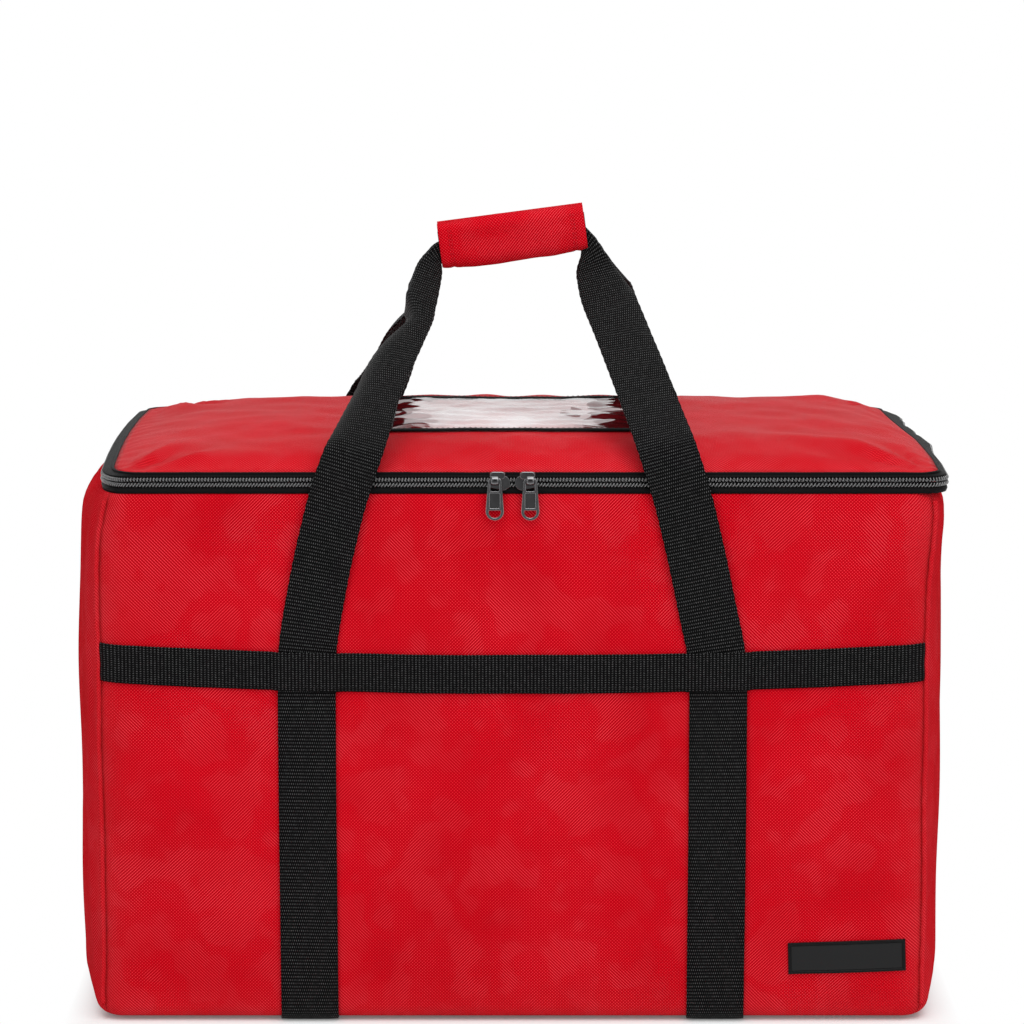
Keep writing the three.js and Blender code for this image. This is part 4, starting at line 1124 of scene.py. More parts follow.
def lid_relief(x, y):
    """Dents all over, small waves at the edge, and creases that fan out from the corners."""
    from_end, from_side = LID_A - np.abs(x), LID_B - np.abs(y)
    to_edge = np.minimum(from_end, from_side)
    dents = 2.3 * waves(x / 80, y / 60, 21.5) + 1.5 * waves(x / 26 + y / 60, y / 34 - x / 90, 23.1)
    around = np.where(from_end < from_side, y, x)
    uneven = 3 * waves(around / 45, 0 * x, 5.5)
    pucker = 0.8 * np.exp(-to_edge / 12) * smooth(to_edge / 4) * np.sin(around / 3.1 + uneven)
    from_corner, angle = np.hypot(from_end, from_side), np.arctan2(from_side, from_end)
    fan = 2.4 * hill(from_corner - 45, 42) * np.sin(angle * 9 + np.sign(x) * 1.3)
    fan += 1.0 * hill(from_corner - 38, 30) * np.sin(angle * 21 + 2 * np.sin(from_corner / 19))
    free = smooth((np.maximum(np.abs(x) - HELD_X, np.abs(y) - HELD_Y)) / HELD_FADE)
    inside = smooth(to_edge / 22)
    return np.maximum(inside * (dents * (0.35 + 0.65 * free) + fan) + pucker, DEEPEST_CREASE)


def draw_in(points, share_x, share_y):
    """The lid's cloth ends a little inside the zip."""
    p = np.array(points, float)
    p[..., 0] *= 1 - (1 - np.where(p[..., 0] < 0, LID_DRAW_LEFT, LID_DRAW_RIGHT)) * share_x
    p[..., 1] *= 1 - (1 - LID_DRAW_Y) * share_y
    return p


def lid_top(x, y, lift=0.0):
    """A point of the dressed lid, from its plan."""
    flat = np.stack(np.broadcast_arrays(x, y, LID_PANEL_TOP + lid_dome(x, y) + lid_relief(x, y) + lift), -1)
    return lean(draw_in(flat, smooth((np.abs(x) - 60) / 190), 1.0))


print("lid's middle: z", round(float(lid_top(0.0, 0.0)[2]), 1), "mm")

# %% [markdown]
# ## Lid cloth
# One sheet over that landscape, with its hem turned down behind the binding. The hem and the cloth
# beside it are the first to be rubbed.

# %% Lid cloth
LID_STEP, LID_HEM = 4.5, 1.1
top = lid_top(*lid_plan(LID_STEP))
grid = hemmed(top, top * [0.995, 0.995, 1] - [0, 0, LID_HEM])
to_edge = np.minimum(LID_A - np.abs(grid[..., 0]), LID_B * LID_DRAW_Y - np.abs(grid[..., 1]))
wear_and_painted_light = np.exp(-np.clip(to_edge, 0, None) / 10)
lid_cloth = sheet_piece("lid_cloth", grid, grid[..., :2], LID_RED, "lid", wear_and_painted_light)
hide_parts("lid_panel")
print("lid cloth:", len(lid_cloth.data.vertices), "points")

# %% [markdown]
# ## The lid's binding, padding and film
# A rolled black tape binds the lid's edge. Under the cloth lies a foam board, wrapped from below
# in silver film that comes up round its sides. The foam is domed like the cloth, and the film is
# one skin of rings that run from its sides to the middle of its underside.


# %% Rolled binding
BINDING_Z, BINDING_RADIUS, BINDING_SIDES, BINDING_RIPPLE = 369.9, 1.05, 10, 0.25


def rounded_loop(inset, z, step, drawn=0.0):
    """The lid's and zip's outline: a rounded rectangle without bulge, drawn in for the lid."""
    x, y = round_the_walls(inset, step, 7)
    return lean(draw_in(np.stack([x, y, np.full_like(x, z)], -1), drawn, drawn))


def round_cord(name, path, radius, sides, material, body):
    """A closed round cord of cloth along a path that lies nearly flat."""
    ahead = unit(np.roll(path, -1, 0) - np.roll(path, 1, 0))
    side = unit(np.cross(ahead, np.array([0, 0, 1.0])))
    lift = np.cross(side, ahead)
    rings = [path + radius * (side * math.cos(a) + lift * math.sin(a))
             for a in np.linspace(0, 2 * math.pi, sides, endpoint=False)]
    return tube_piece(name, np.stack(rings, 1), material, body, closed=True)


edge = rounded_loop(1.0, BINDING_Z, 4.0, 1.0)
edge[:, 2] += BINDING_RIPPLE * waves(np.arange(len(edge)) / 6.0, np.zeros(len(edge)), 31.0)
binding = round_cord("rolled_binding", edge, BINDING_RADIUS, BINDING_SIDES, TAPE, "lid")
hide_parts("lid_binding")
print("binding:", round(float(way_along(edge)[-1])), "mm round")


# %% Foam and film of the lid
LID_FOAM_LOW, LID_CLOTH_GAP = 358.3, 4.4
FOAM_SHARES = [0.935, 0.93, 0.87, 0.8, 0.7, 0.5, 0.3, 0.02]
FILM_SIDE = [(0.951, 369.6), (0.95, 366.0), (0.949, 362.0), (0.947, 359.0), (0.941, 357.5)]
FILM_UNDER = [(0.9, 357.4), (0.7, 357.4), (0.5, 357.45), (0.3, 357.4), (0.1, 357.4), (0.01, 357.4)]


def foam_top(x, y):
    return LID_PANEL_TOP + lid_dome(x * 1.035, y * 1.02) - LID_CLOTH_GAP


outline = rounded_loop(3.0, 0, 8.0)
lid_foam = plate_piece("lid_foam", outline, LID_FOAM_LOW, foam_top, FOAM_SHARES, FOAM, "lid")
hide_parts("lid_foam_board")

rings = []
for share, z in FILM_SIDE + FILM_UNDER:
    ring = outline * [share, share, 0]
    crinkle = 0.1 * waves(ring[:, 0] / 12, ring[:, 1] / 12, 44.0)
    ring[:, 2] = z + crinkle * (share < 0.94)
    rings.append(ring)
rings = np.stack(rings)
faces = ring_faces(*rings.shape[:2])
maps = per_corner(faces, rings[..., :2])
lid_film = finish_piece("lid_film", rings.reshape(-1, 3), faces, maps, FOIL, "lid")
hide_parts("lid_liner")
print("lid film:", len(lid_film.data.vertices), "points")

# %% [markdown]
# ## Zip
# The zip runs round three sides. Each tape carries a coil, a plastic wire wound in close turns
# that hook into the other row. The turns are real here, because they catch the light one by one,
# and a pattern on a flat strip would not. Near the back right corner the tape is loose and waves
# outwards: a table says where, how far, and how much it droops there.


# %% The zip's way
LOOSE_AT = [-55, -30, -10, 10, 27, 40, 52, 63, 74, 85, 96, 108, 118, 127, 137, 150]
LOOSE_OUT = [0.5, 2.8, 5.0, 5.0, 4.6, 3.6, 4.6, 5.6, 4.4, 3.4, 4.6, 6.4, 5.0, 7.4, 6.0, 1.5]
LOOSE_DROOP = [0, 0.2, 0.4, 0.4, 0, 0.6, 0, 0.8, 0.2, 0.8, 0, 0.9, 0.1, 0.9, 0.3, 0]
COIL_END, TAPE_END = HALF_DEPTH - CORNER - 12, HALF_DEPTH - CORNER + 0.95 * ARC


def zip_line(step, end, out=0.0, loose=1.0):
    """Points on the zip's way round three sides, the directions outwards, and the way along it."""
    half_side, half_front = half_cloth("left"), half_cloth("front")
    pieces = [("left", np.linspace(-end, half_side, 300)),
              ("front", np.linspace(-half_front, half_front, 500)[1:-1]),
              ("right", np.linspace(-half_side, end, 300))]
    points, outs = [], []
    for wall, alongs in pieces:
        x, y = on_wall(wall, alongs, np.zeros_like(alongs))
        x1, y1 = on_wall(wall, alongs, np.full_like(alongs, -1.0))
        points.append(np.stack([x, y, np.full_like(x, LID_PANEL_TOP)], -1))
        outs.append(np.stack([x1 - x, y1 - y, np.zeros_like(x)], -1))
    points, outs = np.concatenate(points), unit(np.concatenate(outs))
    travel = way_along(points)
    where = np.arange(0, travel[-1], step)
    at, facing = points_at(where, travel, points), unit(points_at(where, travel, outs))
    right = loose * smooth((at[:, 0] - 250) / 15)
    droop = right * np.interp(at[:, 1], LOOSE_AT, LOOSE_DROOP)
    at[:, 0] += right * np.interp(at[:, 1], LOOSE_AT, LOOSE_OUT)
    at = lean(at + facing * out)
    at[:, 2] = -droop
    return at, facing, where


print("zip:", round(float(zip_line(1.0, COIL_END)[2][-1])), "mm long")


# %% Coils
BODY_COIL_Z, LID_COIL_Z, COIL_PITCH, TURN_STEPS = 362.9, 366.3, 2.15, 8
COIL_OUT, COIL_ASLANT, COIL_TALL, WIRE_RADIUS, WIRE_SIDES = 1.05, 0.5, 1.2, 0.4, 5


def coil(name, z, node, body, slant):
    """One row of the zip: a flattened helix whose turns lie aslant."""
    at, facing, where = zip_line(COIL_PITCH / TURN_STEPS, COIL_END)
    at[:, 2] += z
    angle = where / COIL_PITCH * 2 * math.pi
    ahead = unit(np.gradient(at, axis=0))
    path = (at + facing * (COIL_OUT * np.cos(angle))[:, None]
            + ahead * (COIL_ASLANT * slant * np.sin(angle))[:, None]
            + np.array([0, 0, 1.0]) * (COIL_TALL * np.sin(angle))[:, None])
    forward = unit(np.gradient(path, axis=0))
    side = unit(np.cross(forward, ahead))
    across = np.cross(forward, side)
    rings = [path + WIRE_RADIUS * (side * math.cos(a) + across * math.sin(a))
             for a in np.linspace(0, 2 * math.pi, WIRE_SIDES, endpoint=False)]
    piece = tube_piece(name, np.stack(rings, 1), WIRE, body)
    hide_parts(node)
    return round(where[-1] / COIL_PITCH)


turns = coil("lower_coil", BODY_COIL_Z, "body_zip_coil", "bag_body", 1)
turns += coil("upper_coil", LID_COIL_Z, "lid_zip_coil", "lid", -1)
print("turns of wire:", turns)

# %% [markdown]
# ## The zip's tapes
# A tape is one section drawn along the zip's way. Each step of the section has four numbers: how
# far out it lies, its height, how far it follows the lid's edge inwards, and how firmly it is sewn
# down. Where it is firm it doesn't take part in the loose waves.


# %% Tapes
TAPE_STEP, TAPE_THICK = 3.0, 0.6
LOWER_SECTION = [(0.3, 357.2, 0, 0.85), (0.9, 359.4, 0, 0.5), (0.2, 360.9, 0, 0.1), (-1.6, 361.7, 0, 0),
                 (-1.8, 364.5, 0, 0)]
UPPER_SECTION = [(-1.8, 365.0, 0, 0), (-1.6, 367.4, 0, 0), (0.1, 368.2, 0, 0.1), (0.3, 368.6, 0.15, 0.3),
                 (-0.2, 369.3, 0.7, 0.75), (-0.6, 369.9, 1, 1)]


def tape(name, section, node, body):
    rows = []
    for out, z, drawn, firm in section:
        at, facing, where = zip_line(TAPE_STEP, TAPE_END, out, 1 - firm)
        rows.append(draw_in(at, drawn, drawn) + [0, 0, z])
    outer = np.stack(rows)
    along_section, ahead = unit(np.gradient(outer, axis=0)), unit(np.gradient(outer, axis=1))
    inner = outer + unit(np.cross(ahead, along_section)) * TAPE_THICK
    if np.sum((inner - outer) * facing[None]) > 0:
        inner = 2 * outer - inner
    uv = map_of(where[None, :], way_along(outer[:, 0])[:, None])
    piece = slab_piece(name, outer, inner, uv, TAPE, body)
    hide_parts(node)
    return where[-1]


tape_length = tape("lower_tape", LOWER_SECTION, "body_zip_tape", "bag_body")
tape("upper_tape", UPPER_SECTION, "lid_zip_tape", "lid")
print("zip tapes:", round(float(tape_length)), "mm long")

# %% [markdown]
# ## Hinge strip
# Along the back the lid hangs on a strip of tape. It reaches into both corners.

# %% Hinge strip
HINGE_LOW, HINGE_HIGH, HINGE_OUT = 357.1, 369.6, 0.4
reach = HALF_WIDTH - CORNER + 0.9 * ARC
x, z = np.meshgrid(np.linspace(-reach, reach, 110), np.linspace(HINGE_LOW, HINGE_HIGH, 7))
ripple = 0.15 * waves(x / 14, z / 9, 61.0)
outer, inner = [np.stack([*on_wall("back", -x, inset - ripple), z], -1) for inset in (-HINGE_OUT, HINGE_OUT)]
hinge = slab_piece("hinge_tape", outer, inner, np.stack([x, z], -1), TAPE, None)
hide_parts("hinge_strip_lower", "hinge_strip_upper")
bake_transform(hinge)
print("hinge strip:", round(2 * reach), "mm long")

# %% [markdown]
# ## Clear pocket on the lid
# A vinyl sheet is sewn under a folded black tape. Vinyl never lies flat: it waves between its
# stitches, and the waves are what makes it shine.

# %% Vinyl sheet
POCKET_X, POCKET_Y, SHEET_INSET, SHEET_POINTS = 89.0, 87.5, 3, 56
x, y = np.meshgrid(*(np.linspace(-size + SHEET_INSET, size - SHEET_INSET, SHEET_POINTS)
                     for size in (POCKET_X, POCKET_Y)))
free = smooth(np.minimum(POCKET_X - SHEET_INSET - np.abs(x), POCKET_Y - SHEET_INSET - np.abs(y)) / 16)
swell = free * (1.3 + 1.5 * waves(x / 24, y / 13, 71.0) + 0.7 * waves(x / 9, y / 26, 73.0))
vinyl_grid = lid_top(x, y, 1.0 + np.clip(swell, 0, None))
vinyl = sheet_piece("vinyl_window", vinyl_grid, np.stack([x, y], -1), VINYL, "lid")
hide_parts("pocket_sheet")
print("vinyl:", len(vinyl.data.vertices), "points")


# %% Pocket tape
POCKET_CORNERS = np.array([(-1, -1), (1, -1), (1, 1), (-1, 1), (-1, -1)], float)
POCKET_SECTION = ((0.0, 0.1), (0.6, 0.9), (2.5, 1.25), (5.5, 1.25), (7.4, 0.95), (8.0, 0.1))


def pocket_loop():
    """Places round the pocket's edge, from -1 to 1 both ways."""
    loop = []
    for a, b in zip(POCKET_CORNERS, POCKET_CORNERS[1:]):
        loop += [a + (b - a) * t for t in np.linspace(0, 1, 28)[:-1]]
    return np.array(loop)


def on_pocket(loop, inset, lift):
    return lid_top(loop[:, 0] * (POCKET_X - inset), loop[:, 1] * (POCKET_Y - inset), lift)


def pocket_tape():
    """One mitred frame of folded tape, as rings round its cross-section."""
    loop = pocket_loop()
    rings = [on_pocket(loop, inset, 0.9 + lift) for inset, lift in POCKET_SECTION]
    piece = tube_piece("pocket_tape", np.stack(rings, 1), TAPE, "lid", closed=True)
    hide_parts("pocket_binding")
    closed = np.concatenate([loop, loop[:1]])
    for name, inset in (("outer", 1.2), ("inner", 6.8)):
        path = on_pocket(closed, inset, 2.15)
        stitches(f"pocket_{name}_stitches", path, np.broadcast_to([0, 0, 1.0], path.shape), THREAD, "lid")


pocket_tape()
print("pocket:", 2 * POCKET_X, "x", 2 * POCKET_Y, "mm")

# %% [markdown]
# ## Lining
# Inside, one film of silver lining hangs from the rim and lies on the floor pad. It is heat
# sealed, so it crinkles. One skin of rings makes it: down the walls, round the foot, and over the
# floor to the middle. The crinkles only stand inwards, where nothing is in their way.

# %% Lining
WALL_INSET, FLOOR_INSET, FLOOR_Z = 10.1, 12.6, 15.4
WALL_LEVELS = np.concatenate([np.linspace(356.4, 24, 46), [19, 16.6, 15.6]])
FLOOR_SHARES = (0.97, 0.9, 0.75, 0.6, 0.45, 0.3, 0.15, 0.02)
rings = [flat_loop(WALL_INSET + (0 if z > 20 else (20 - z) * 0.55), z) for z in WALL_LEVELS]
rings += [flat_loop(FLOOR_INSET, FLOOR_Z) * [share, share, 1] for share in FLOOR_SHARES]
rings = np.stack(rings)
levels = np.concatenate([WALL_LEVELS, np.full(len(FLOOR_SHARES), FLOOR_Z)])[:, None]
inward = unit(-rings * [1, 1, 0])
crinkle = 0.9 * np.abs(waves(rings[..., 0] / 26 + rings[..., 1] / 31, rings[..., 2] / 22, 81.0))
crinkle += 0.5 * np.abs(waves(rings[..., 0] / 9 - rings[..., 1] / 11, rings[..., 2] / 12, 83.0))
standing, lying = (levels > 16) & (levels < 352), levels < 16
rings[..., :2] += (inward * (crinkle * standing)[..., None])[..., :2]
rings[..., 2] += 0.35 * crinkle * lying
count, sides = rings.shape[:2]
way_down, way_round = way_along(rings[:, 0]), way_along(np.concatenate([rings[0], rings[0, :1]]))
faces = [(a, d, c, b) for a, b, c, d in ring_faces(count, sides)]
maps = [(way_round[j + across], way_down[i + down]) for i in range(count - 1) for j in range(sides)
        for across, down in ((0, 0), (0, 1), (1, 1), (1, 0))]
lining = finish_piece("silver_lining", rings.reshape(-1, 3), faces, maps, FOIL, "bag_body")
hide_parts("front_liner", "right_liner", "back_liner", "left_liner", "bottom_liner")
print("lining:", len(lining.data.vertices), "points")

# %% [markdown]
# ## Foam boards and rim
# Between film and cloth stand foam boards with soft edges. A black tape is folded over the upper
# edge of wall, foam and film, and closes the rim. The stiff board under the floor pad keeps the
# solid's own shape, because a flat board has nothing to add, and takes its material here.


# %% Foam boards and rim
FOAM_OUT, FOAM_IN, FOAM_LOW, FOAM_HIGH = 2.9, 9.5, 15, 356.4
RIM_SECTION = ((0.9, 356.6), (1.1, 357.05), (4.5, 357.15), (9.6, 357.1), (10.9, 356.4), (11.0, 345.0),
               (10.3, 344.8), (10.2, 356.0), (9.4, 356.6))


def foam_board(wall):
    flat = half_length(wall) - CORNER
    ups = np.linspace(FOAM_LOW - FOOT_TOP, FOAM_HIGH - FOOT_TOP, 26)
    along, up = np.meshgrid(np.linspace(-flat, flat, 30), ups)
    to_edge = np.minimum(flat - np.abs(along), np.minimum(up - ups[0], ups[-1] - up))
    soft = 0.8 * np.exp(-to_edge / 2.0)
    outer, inner = [bulged(*on_wall(wall, along, inset), FOOT_TOP + up)
                    for inset in (FOAM_OUT + soft, FOAM_IN - soft)]
    piece = slab_piece(f"{wall}_foam", outer, inner, np.stack([along, up], -1), FOAM, "bag_body")
    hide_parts(f"{wall}_foam_board")


for wall in WALLS:
    foam_board(wall)
floor_foam = plate_piece("floor_foam", flat_loop(9.6, 6.4), 6.5, 14.2, [0.99, 1, 0.97, 0.6, 0.3, 0.02],
                         FOAM, "bag_body")
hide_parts("bottom_foam_board")

rim_rings = [rounded_loop(inset, z, 5.0) for inset, z in RIM_SECTION]
tube_piece("rim_tape", np.stack(rim_rings, 1), TAPE, "bag_body", closed=True)
board_materials = bpy.data.objects["base_board"].data.materials
board_materials.clear()
board_materials.append(BOARD)
print("foam boards:", len(WALLS) + 1)

# %% [markdown]
# ## Where the handle straps run
# Each handle strap comes up from under the band, stands over the rim, leans in and turns into the
# padded grip. Its way is a list of chosen stops. Near the grip each stop is a pair of places, for
# the inner and the outer edge, because there the webbing opens out of its fold. Further down a
# stop is the middle of the webbing with the width that it shows. Where a stop lies at the wall,
# its depth is taken from the wall's own shape, and the back straps mirror the front ones, a
# little aside.

# %% Stops of the handle straps
EDGE_PAIRS = {
    "left": [((-38, -2.9, 496.5), (-38, -2.9, 514.5)), ((-49.6, -3.6, 494.8), (-49.9, -3.6, 508.0)),
             ((-50.6, -8.5, 492.4), (-57.4, -5.0, 503.4)), ((-49.0, -15.0, 489.8), (-63.4, -7.5, 497.2)),
             ((-48.4, -22.0, 485.0), (-67.2, -15.5, 489.8)), ((-49.4, -30.5, 479.2), (-69.0, -22.5, 484.6)),
             ((-50.4, -38.8, 473.6), (-70.4, -30.0, 479.6)), ((-51.9, -49.2, 466.5), (-72.6, -37.5, 474.4)),
             ((-54.2, -59.5, 459.5), (-76.6, -47.5, 467.4))],
    "right": [((38, -2.9, 506.5), (38, -2.9, 524.5)), ((49.4, -3.6, 505.0), (49.9, -3.6, 519.8)),
              ((49.0, -6.0, 500.2), (54.9, -5.0, 514.4)), ((47.3, -8.0, 496.2), (59.2, -6.0, 508.4)),
              ((46.0, -11.0, 492.4), (63.6, -6.5, 500.8)), ((44.3, -19.5, 486.5), (68.8, -10.5, 492.8)),
              ((44.1, -27.0, 481.6), (73.8, -19.0, 487.3)), ((45.2, -35.5, 475.8), (78.6, -26.5, 482.0)),
              ((47.2, -46.5, 468.4), (82.6, -36.5, 475.2))],
}
MIDDLES = {
    "left": [(-75.0, -76.5, 447.8, 31.2), (-81.8, -93.3, 436.3, 32.2), (-86.6, -110, 425, 32.2),
             (-92.2, -126.4, 413.8, 33), (-96.0, -142.7, 402.7, 35.2), (-102.8, -166.7, 386.2, 37),
             (-114.5, -170, 353.8, 38), (-124.2, -170, 314, 38), (-131.8, -170, 274.1, 38),
             (-134.6, -170, 255, 38), (-135, -170, 238, 38)],
    "right": [(75.6, -76.5, 447.8, 37), (85.4, -110, 425, 38), (94.6, -142.7, 402.7, 38),
              (101.3, -166.7, 386.2, 38), (111.5, -170, 353.8, 38), (120.9, -170, 314, 38),
              (129.1, -170, 274.1, 38), (133.6, -170, 255, 38), (135, -170, 238, 38)],
}
BACK_SHIFT = {"left": 6.0, "right": 3.6}
OVER_THE_RIM, CLEAR_OF_ZIP, HIGHEST_UP, RUN_Y = 380, 300, 340, -170


def beside_wall(x, z, front):
    """The depth of a strap's middle where it lies on the wall, and clear of the zip further up."""
    up = min(z - FOOT_TOP, HIGHEST_UP)
    proud = 1.3 + 2.2 * smooth((z - 262) / 40)
    if front:
        depth = min(skin("front", x + aside, up, proud)[1] for aside in (-15, 0, 15))
    else:
        depth = -max(skin("back", -x + aside, up, proud)[1] for aside in (-15, 0, 15))
    return min(depth, RUN_Y) if z > CLEAR_OF_ZIP else depth


def softened(line, reach=4):
    """A line of points whose bends are rounded by a running mean, with its ends kept."""
    for _ in range(2):
        before, after = 2 * line[:1] - line[reach:0:-1], 2 * line[-1:] - line[-2:-reach - 2:-1]
        padded = np.concatenate([before, line, after])
        share = np.ones(2 * reach + 1) / (2 * reach + 1)
        line = np.stack([np.convolve(padded[:, k], share, "valid") for k in range(3)], -1)
    return line


def strap_edges(side, sign, front):
    """Inner and outer edge of a handle strap from the grip to the band, and the way along it."""
    stops = np.array(MIDDLES[side], float)
    if not front:
        middle_part = smooth((468 - stops[:, 2]) / 30) * smooth((stops[:, 2] - 350) / 35)
        stops[:, 0] -= sign * BACK_SHIFT[side] * middle_part
    for stop in stops:
        if stop[2] <= OVER_THE_RIM:
            stop[1] = beside_wall(stop[0], stop[2], front)
    middle = stops[:, :3]
    ahead = unit(np.gradient(middle, axis=0))
    wide = unit(np.array([sign, 0, 0]) - ahead * (ahead[:, :1] * sign))
    half = stops[:, 3:] / 2
    near_grip = np.array(EDGE_PAIRS[side], float)
    inner = np.concatenate([near_grip[:, 0], middle - wide * half])
    outer = np.concatenate([near_grip[:, 1], middle + wide * half])
    travel = way_along((inner + outer) / 2)
    where = np.linspace(0, travel[-1], round(travel[-1] / 2))
    inner, outer = [softened(points_at(where, travel, edge)) for edge in (inner, outer)]
    return inner, outer, where


for side, sign in SIDES:
    print(f"{side} handle strap:", round(float(strap_edges(side, sign, True)[2][-1])), "mm long")

# %% [markdown]
# ## Handle straps
# At the grip the webbing is folded in half lengthwise, and it opens out on its way down. The fold
# is real here: from a crease on, the webbing turns behind itself. The strap is unrolled from its
# inner edge outwards in small steps, turning at the crease, so that the full width of the webbing
# is there even where only half of it is seen.


# %% Handle straps
FOLD_CLOSED, FOLD_OPENS, ACROSS_POINTS, PARTS = 172, 114, 25, 3
TIGHT_CREASE, CREASE_OPENS = 2.4, 9.0


def handle_strap(side, sign, front):
    inner_edge, outer_edge, travel = strap_edges(side, sign, front)
    ahead = unit(np.gradient((inner_edge + outer_edge) / 2, axis=0))
    gap = outer_edge - inner_edge
    seen, wide = np.linalg.norm(gap, axis=-1), unit(gap)
    out = sign * unit(np.cross(ahead, wide))
    fold = np.radians(FOLD_CLOSED - FOLD_OPENS * smooth((travel - 16) / 66))
    turned = np.maximum(np.cos(fold), 0)
    crease = np.clip((seen - WEBBING_WIDTH * turned) / (1 - turned), 14, WEBBING_WIDTH)
    fold = fold * smooth((WEBBING_WIDTH - crease) / 4)
    spread = TIGHT_CREASE + CREASE_OPENS * smooth((travel - 30) / 60)
    loose = smooth(travel / 60) * smooth((travel[-1] - travel) / 60)
    sway = 0.7 * waves(travel / 38, travel * 0, 91.0 + sign) * loose
    stretch = np.maximum(seen / WEBBING_WIDTH, 1)
    tucked = np.clip((crease - 2.5) / np.maximum(WEBBING_WIDTH - crease, 1e-6), 0, 1)

    def turn_at(across):
        return fold * smooth((across - crease + spread) / (2 * spread))

    steps = np.linspace(0, WEBBING_WIDTH, ACROSS_POINTS)
    position, last = inner_edge + out * sway[:, None], 0.0
    faces = {"outer": [], "inner": []}
    for across in steps:
        for part in np.linspace(last, across, PARTS + 1)[1:]:
            turn = turn_at(part)
            way = wide * np.cos(turn)[:, None] - out * np.sin(turn)[:, None]
            length = (part - last) * stretch * np.where(part > crease, tucked, 1)
            position = position + way * length[:, None]
            last = part
        turn = turn_at(across)
        normal = out * np.cos(turn)[:, None] + wide * np.sin(turn)[:, None]
        thick = WEBBING_THICK / 2 * (0.75 + 0.25 * (1 - abs(across / (WEBBING_WIDTH / 2) - 1) ** 8))
        edge = {0: -1, WEBBING_WIDTH: 1}.get(across, 0)
        rim = 0.18 * np.sin(travel * 2 * math.pi / SCALLOP) * edge
        faces["outer"].append(position + normal * thick + wide * rim[:, None])
        faces["inner"].append(position - normal * thick + wide * rim[:, None])
    mirror = [1, 1 if front else -1, 1]
    outer, inner = [np.stack(faces[face], 1) * mirror for face in ("outer", "inner")]
    uv = map_of(travel[:, None], steps[None, :])
    handle = "front_handle" if front else "back_handle"
    piece = slab_piece(f"{handle}_webbing_{side}", outer, inner, uv, WEBBING, None)
    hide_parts(f"{handle}_strap_{side}")
    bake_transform(piece)


for side, sign in SIDES:
    for front in (True, False):
        handle_strap(side, sign, front)

# %% [markdown]
# ## Grip
# A padded wrap holds the folded straps together. It is a sleeve of the same red cloth round a
# foam core, hemmed at both ends. It is a section of the wrap, drawn along its length, and at each
# ring the outside swells, dents and draws in at the hem. The side that faces the flap stays
# plain, because the flap lies on it. The grip has its own axes, since it hangs aslant.


# %% Grip axes and sections
GRIP_Z, GRIP_LENGTH, GRIP_TILT = 511.0, 101.0, math.radians(7.5)
GRIP_ALONG = np.array([math.cos(GRIP_TILT), 0, math.sin(GRIP_TILT)])
GRIP_UP = np.array([-math.sin(GRIP_TILT), 0, math.cos(GRIP_TILT)])
GRIP_MIDDLE = [0, 0, GRIP_Z]


def grip_place(x, y, z):
    """From the grip's own axes to the bag's."""
    x, y, z = np.broadcast_arrays(x, y, z)
    level = np.array([0, 1.0, 0])
    return x[..., None] * GRIP_ALONG + y[..., None] * level + z[..., None] * GRIP_UP + GRIP_MIDDLE


def grip_way(y, z):
    """A direction across the grip, on the bag's axes."""
    return grip_place(0, y, z) - GRIP_MIDDLE


def rounded_section(corners, radius, step=3.0, corner_points=6):
    """A closed outline through corners (y, z), each rounded."""
    points, count = [], len(corners)
    for i in range(count):
        p, a, b = (np.array(corners[k % count], float) for k in (i, i - 1, i + 1))
        start, end = p + unit(a - p) * radius[i], p + unit(b - p) * radius[i]
        for t in np.linspace(0, 1, corner_points):
            points.append((1 - t) ** 2 * start + 2 * (1 - t) * t * p + t * t * end)
        after = b + unit(p - b) * radius[(i + 1) % count]
        gap = np.linalg.norm(after - end)
        for t in np.linspace(0, 1, max(2, round(gap / step)))[1:-1]:
            points.append(end + (after - end) * t)
    return np.array(points)


def along_grip(end, count):
    """Places along the grip, closer together at its two ends."""
    shares = np.concatenate([[-1, -end], np.linspace(-0.97, 0.97, count), [end, 1]])
    return shares * GRIP_LENGTH / 2


print("grip:", GRIP_LENGTH, "mm long, tilted", round(math.degrees(GRIP_TILT), 1), "degrees")


# %% Padded wrap
WRAP_CORNERS = [(5.3, -16.3), (5.3, -10.4), (-5.4, -10.4), (-5.4, 10.4), (5.3, 10.4), (5.3, 16.3),
                (-11.3, 16.3), (-11.3, -16.3)]
WRAP_RADII = [1.5, 1.5, 1, 1, 1.5, 1.5, 7.5, 7.5]
HEM_LINE, HEM_STITCH_LINES, THREAD_PROUD = 8.7, (7.2, 9.0), 0.15


def wrap_ring(section, x):
    """The wrap's outline at one place along the grip."""
    end = GRIP_LENGTH / 2 - abs(x)
    tuck = 0.9 * math.exp(-end / 1.2)
    groove = -0.7 * math.exp(-((end - HEM_LINE) / 1.1) ** 2)
    hem = -0.25 * (1 - float(smooth((end - 8) / 1.5)))
    swell = 0.9 * (float(smooth((end - 9) / 18)))
    y, z = section[:, 0], section[:, 1]
    outside = ((y < -7) | (np.abs(z) > 12)).astype(float)
    away = unit(section - np.stack([np.clip(y, -6, 4), np.clip(z, -10, 10)], -1))
    lump = 0.8 * waves(z / 15 + y / 21, np.full_like(z, x / 26), 101.0)
    crease = 0.45 * waves(z / 6 + y / 9, np.full_like(z, x / 15), 103.0)
    move = np.clip(outside * (groove + hem + swell + lump + crease - tuck), -1.6, 1.5)
    by_flap = smooth((y + 7) / 5)
    return section + away * (move - by_flap * np.clip(move - 0.1, 0, None))[:, None]


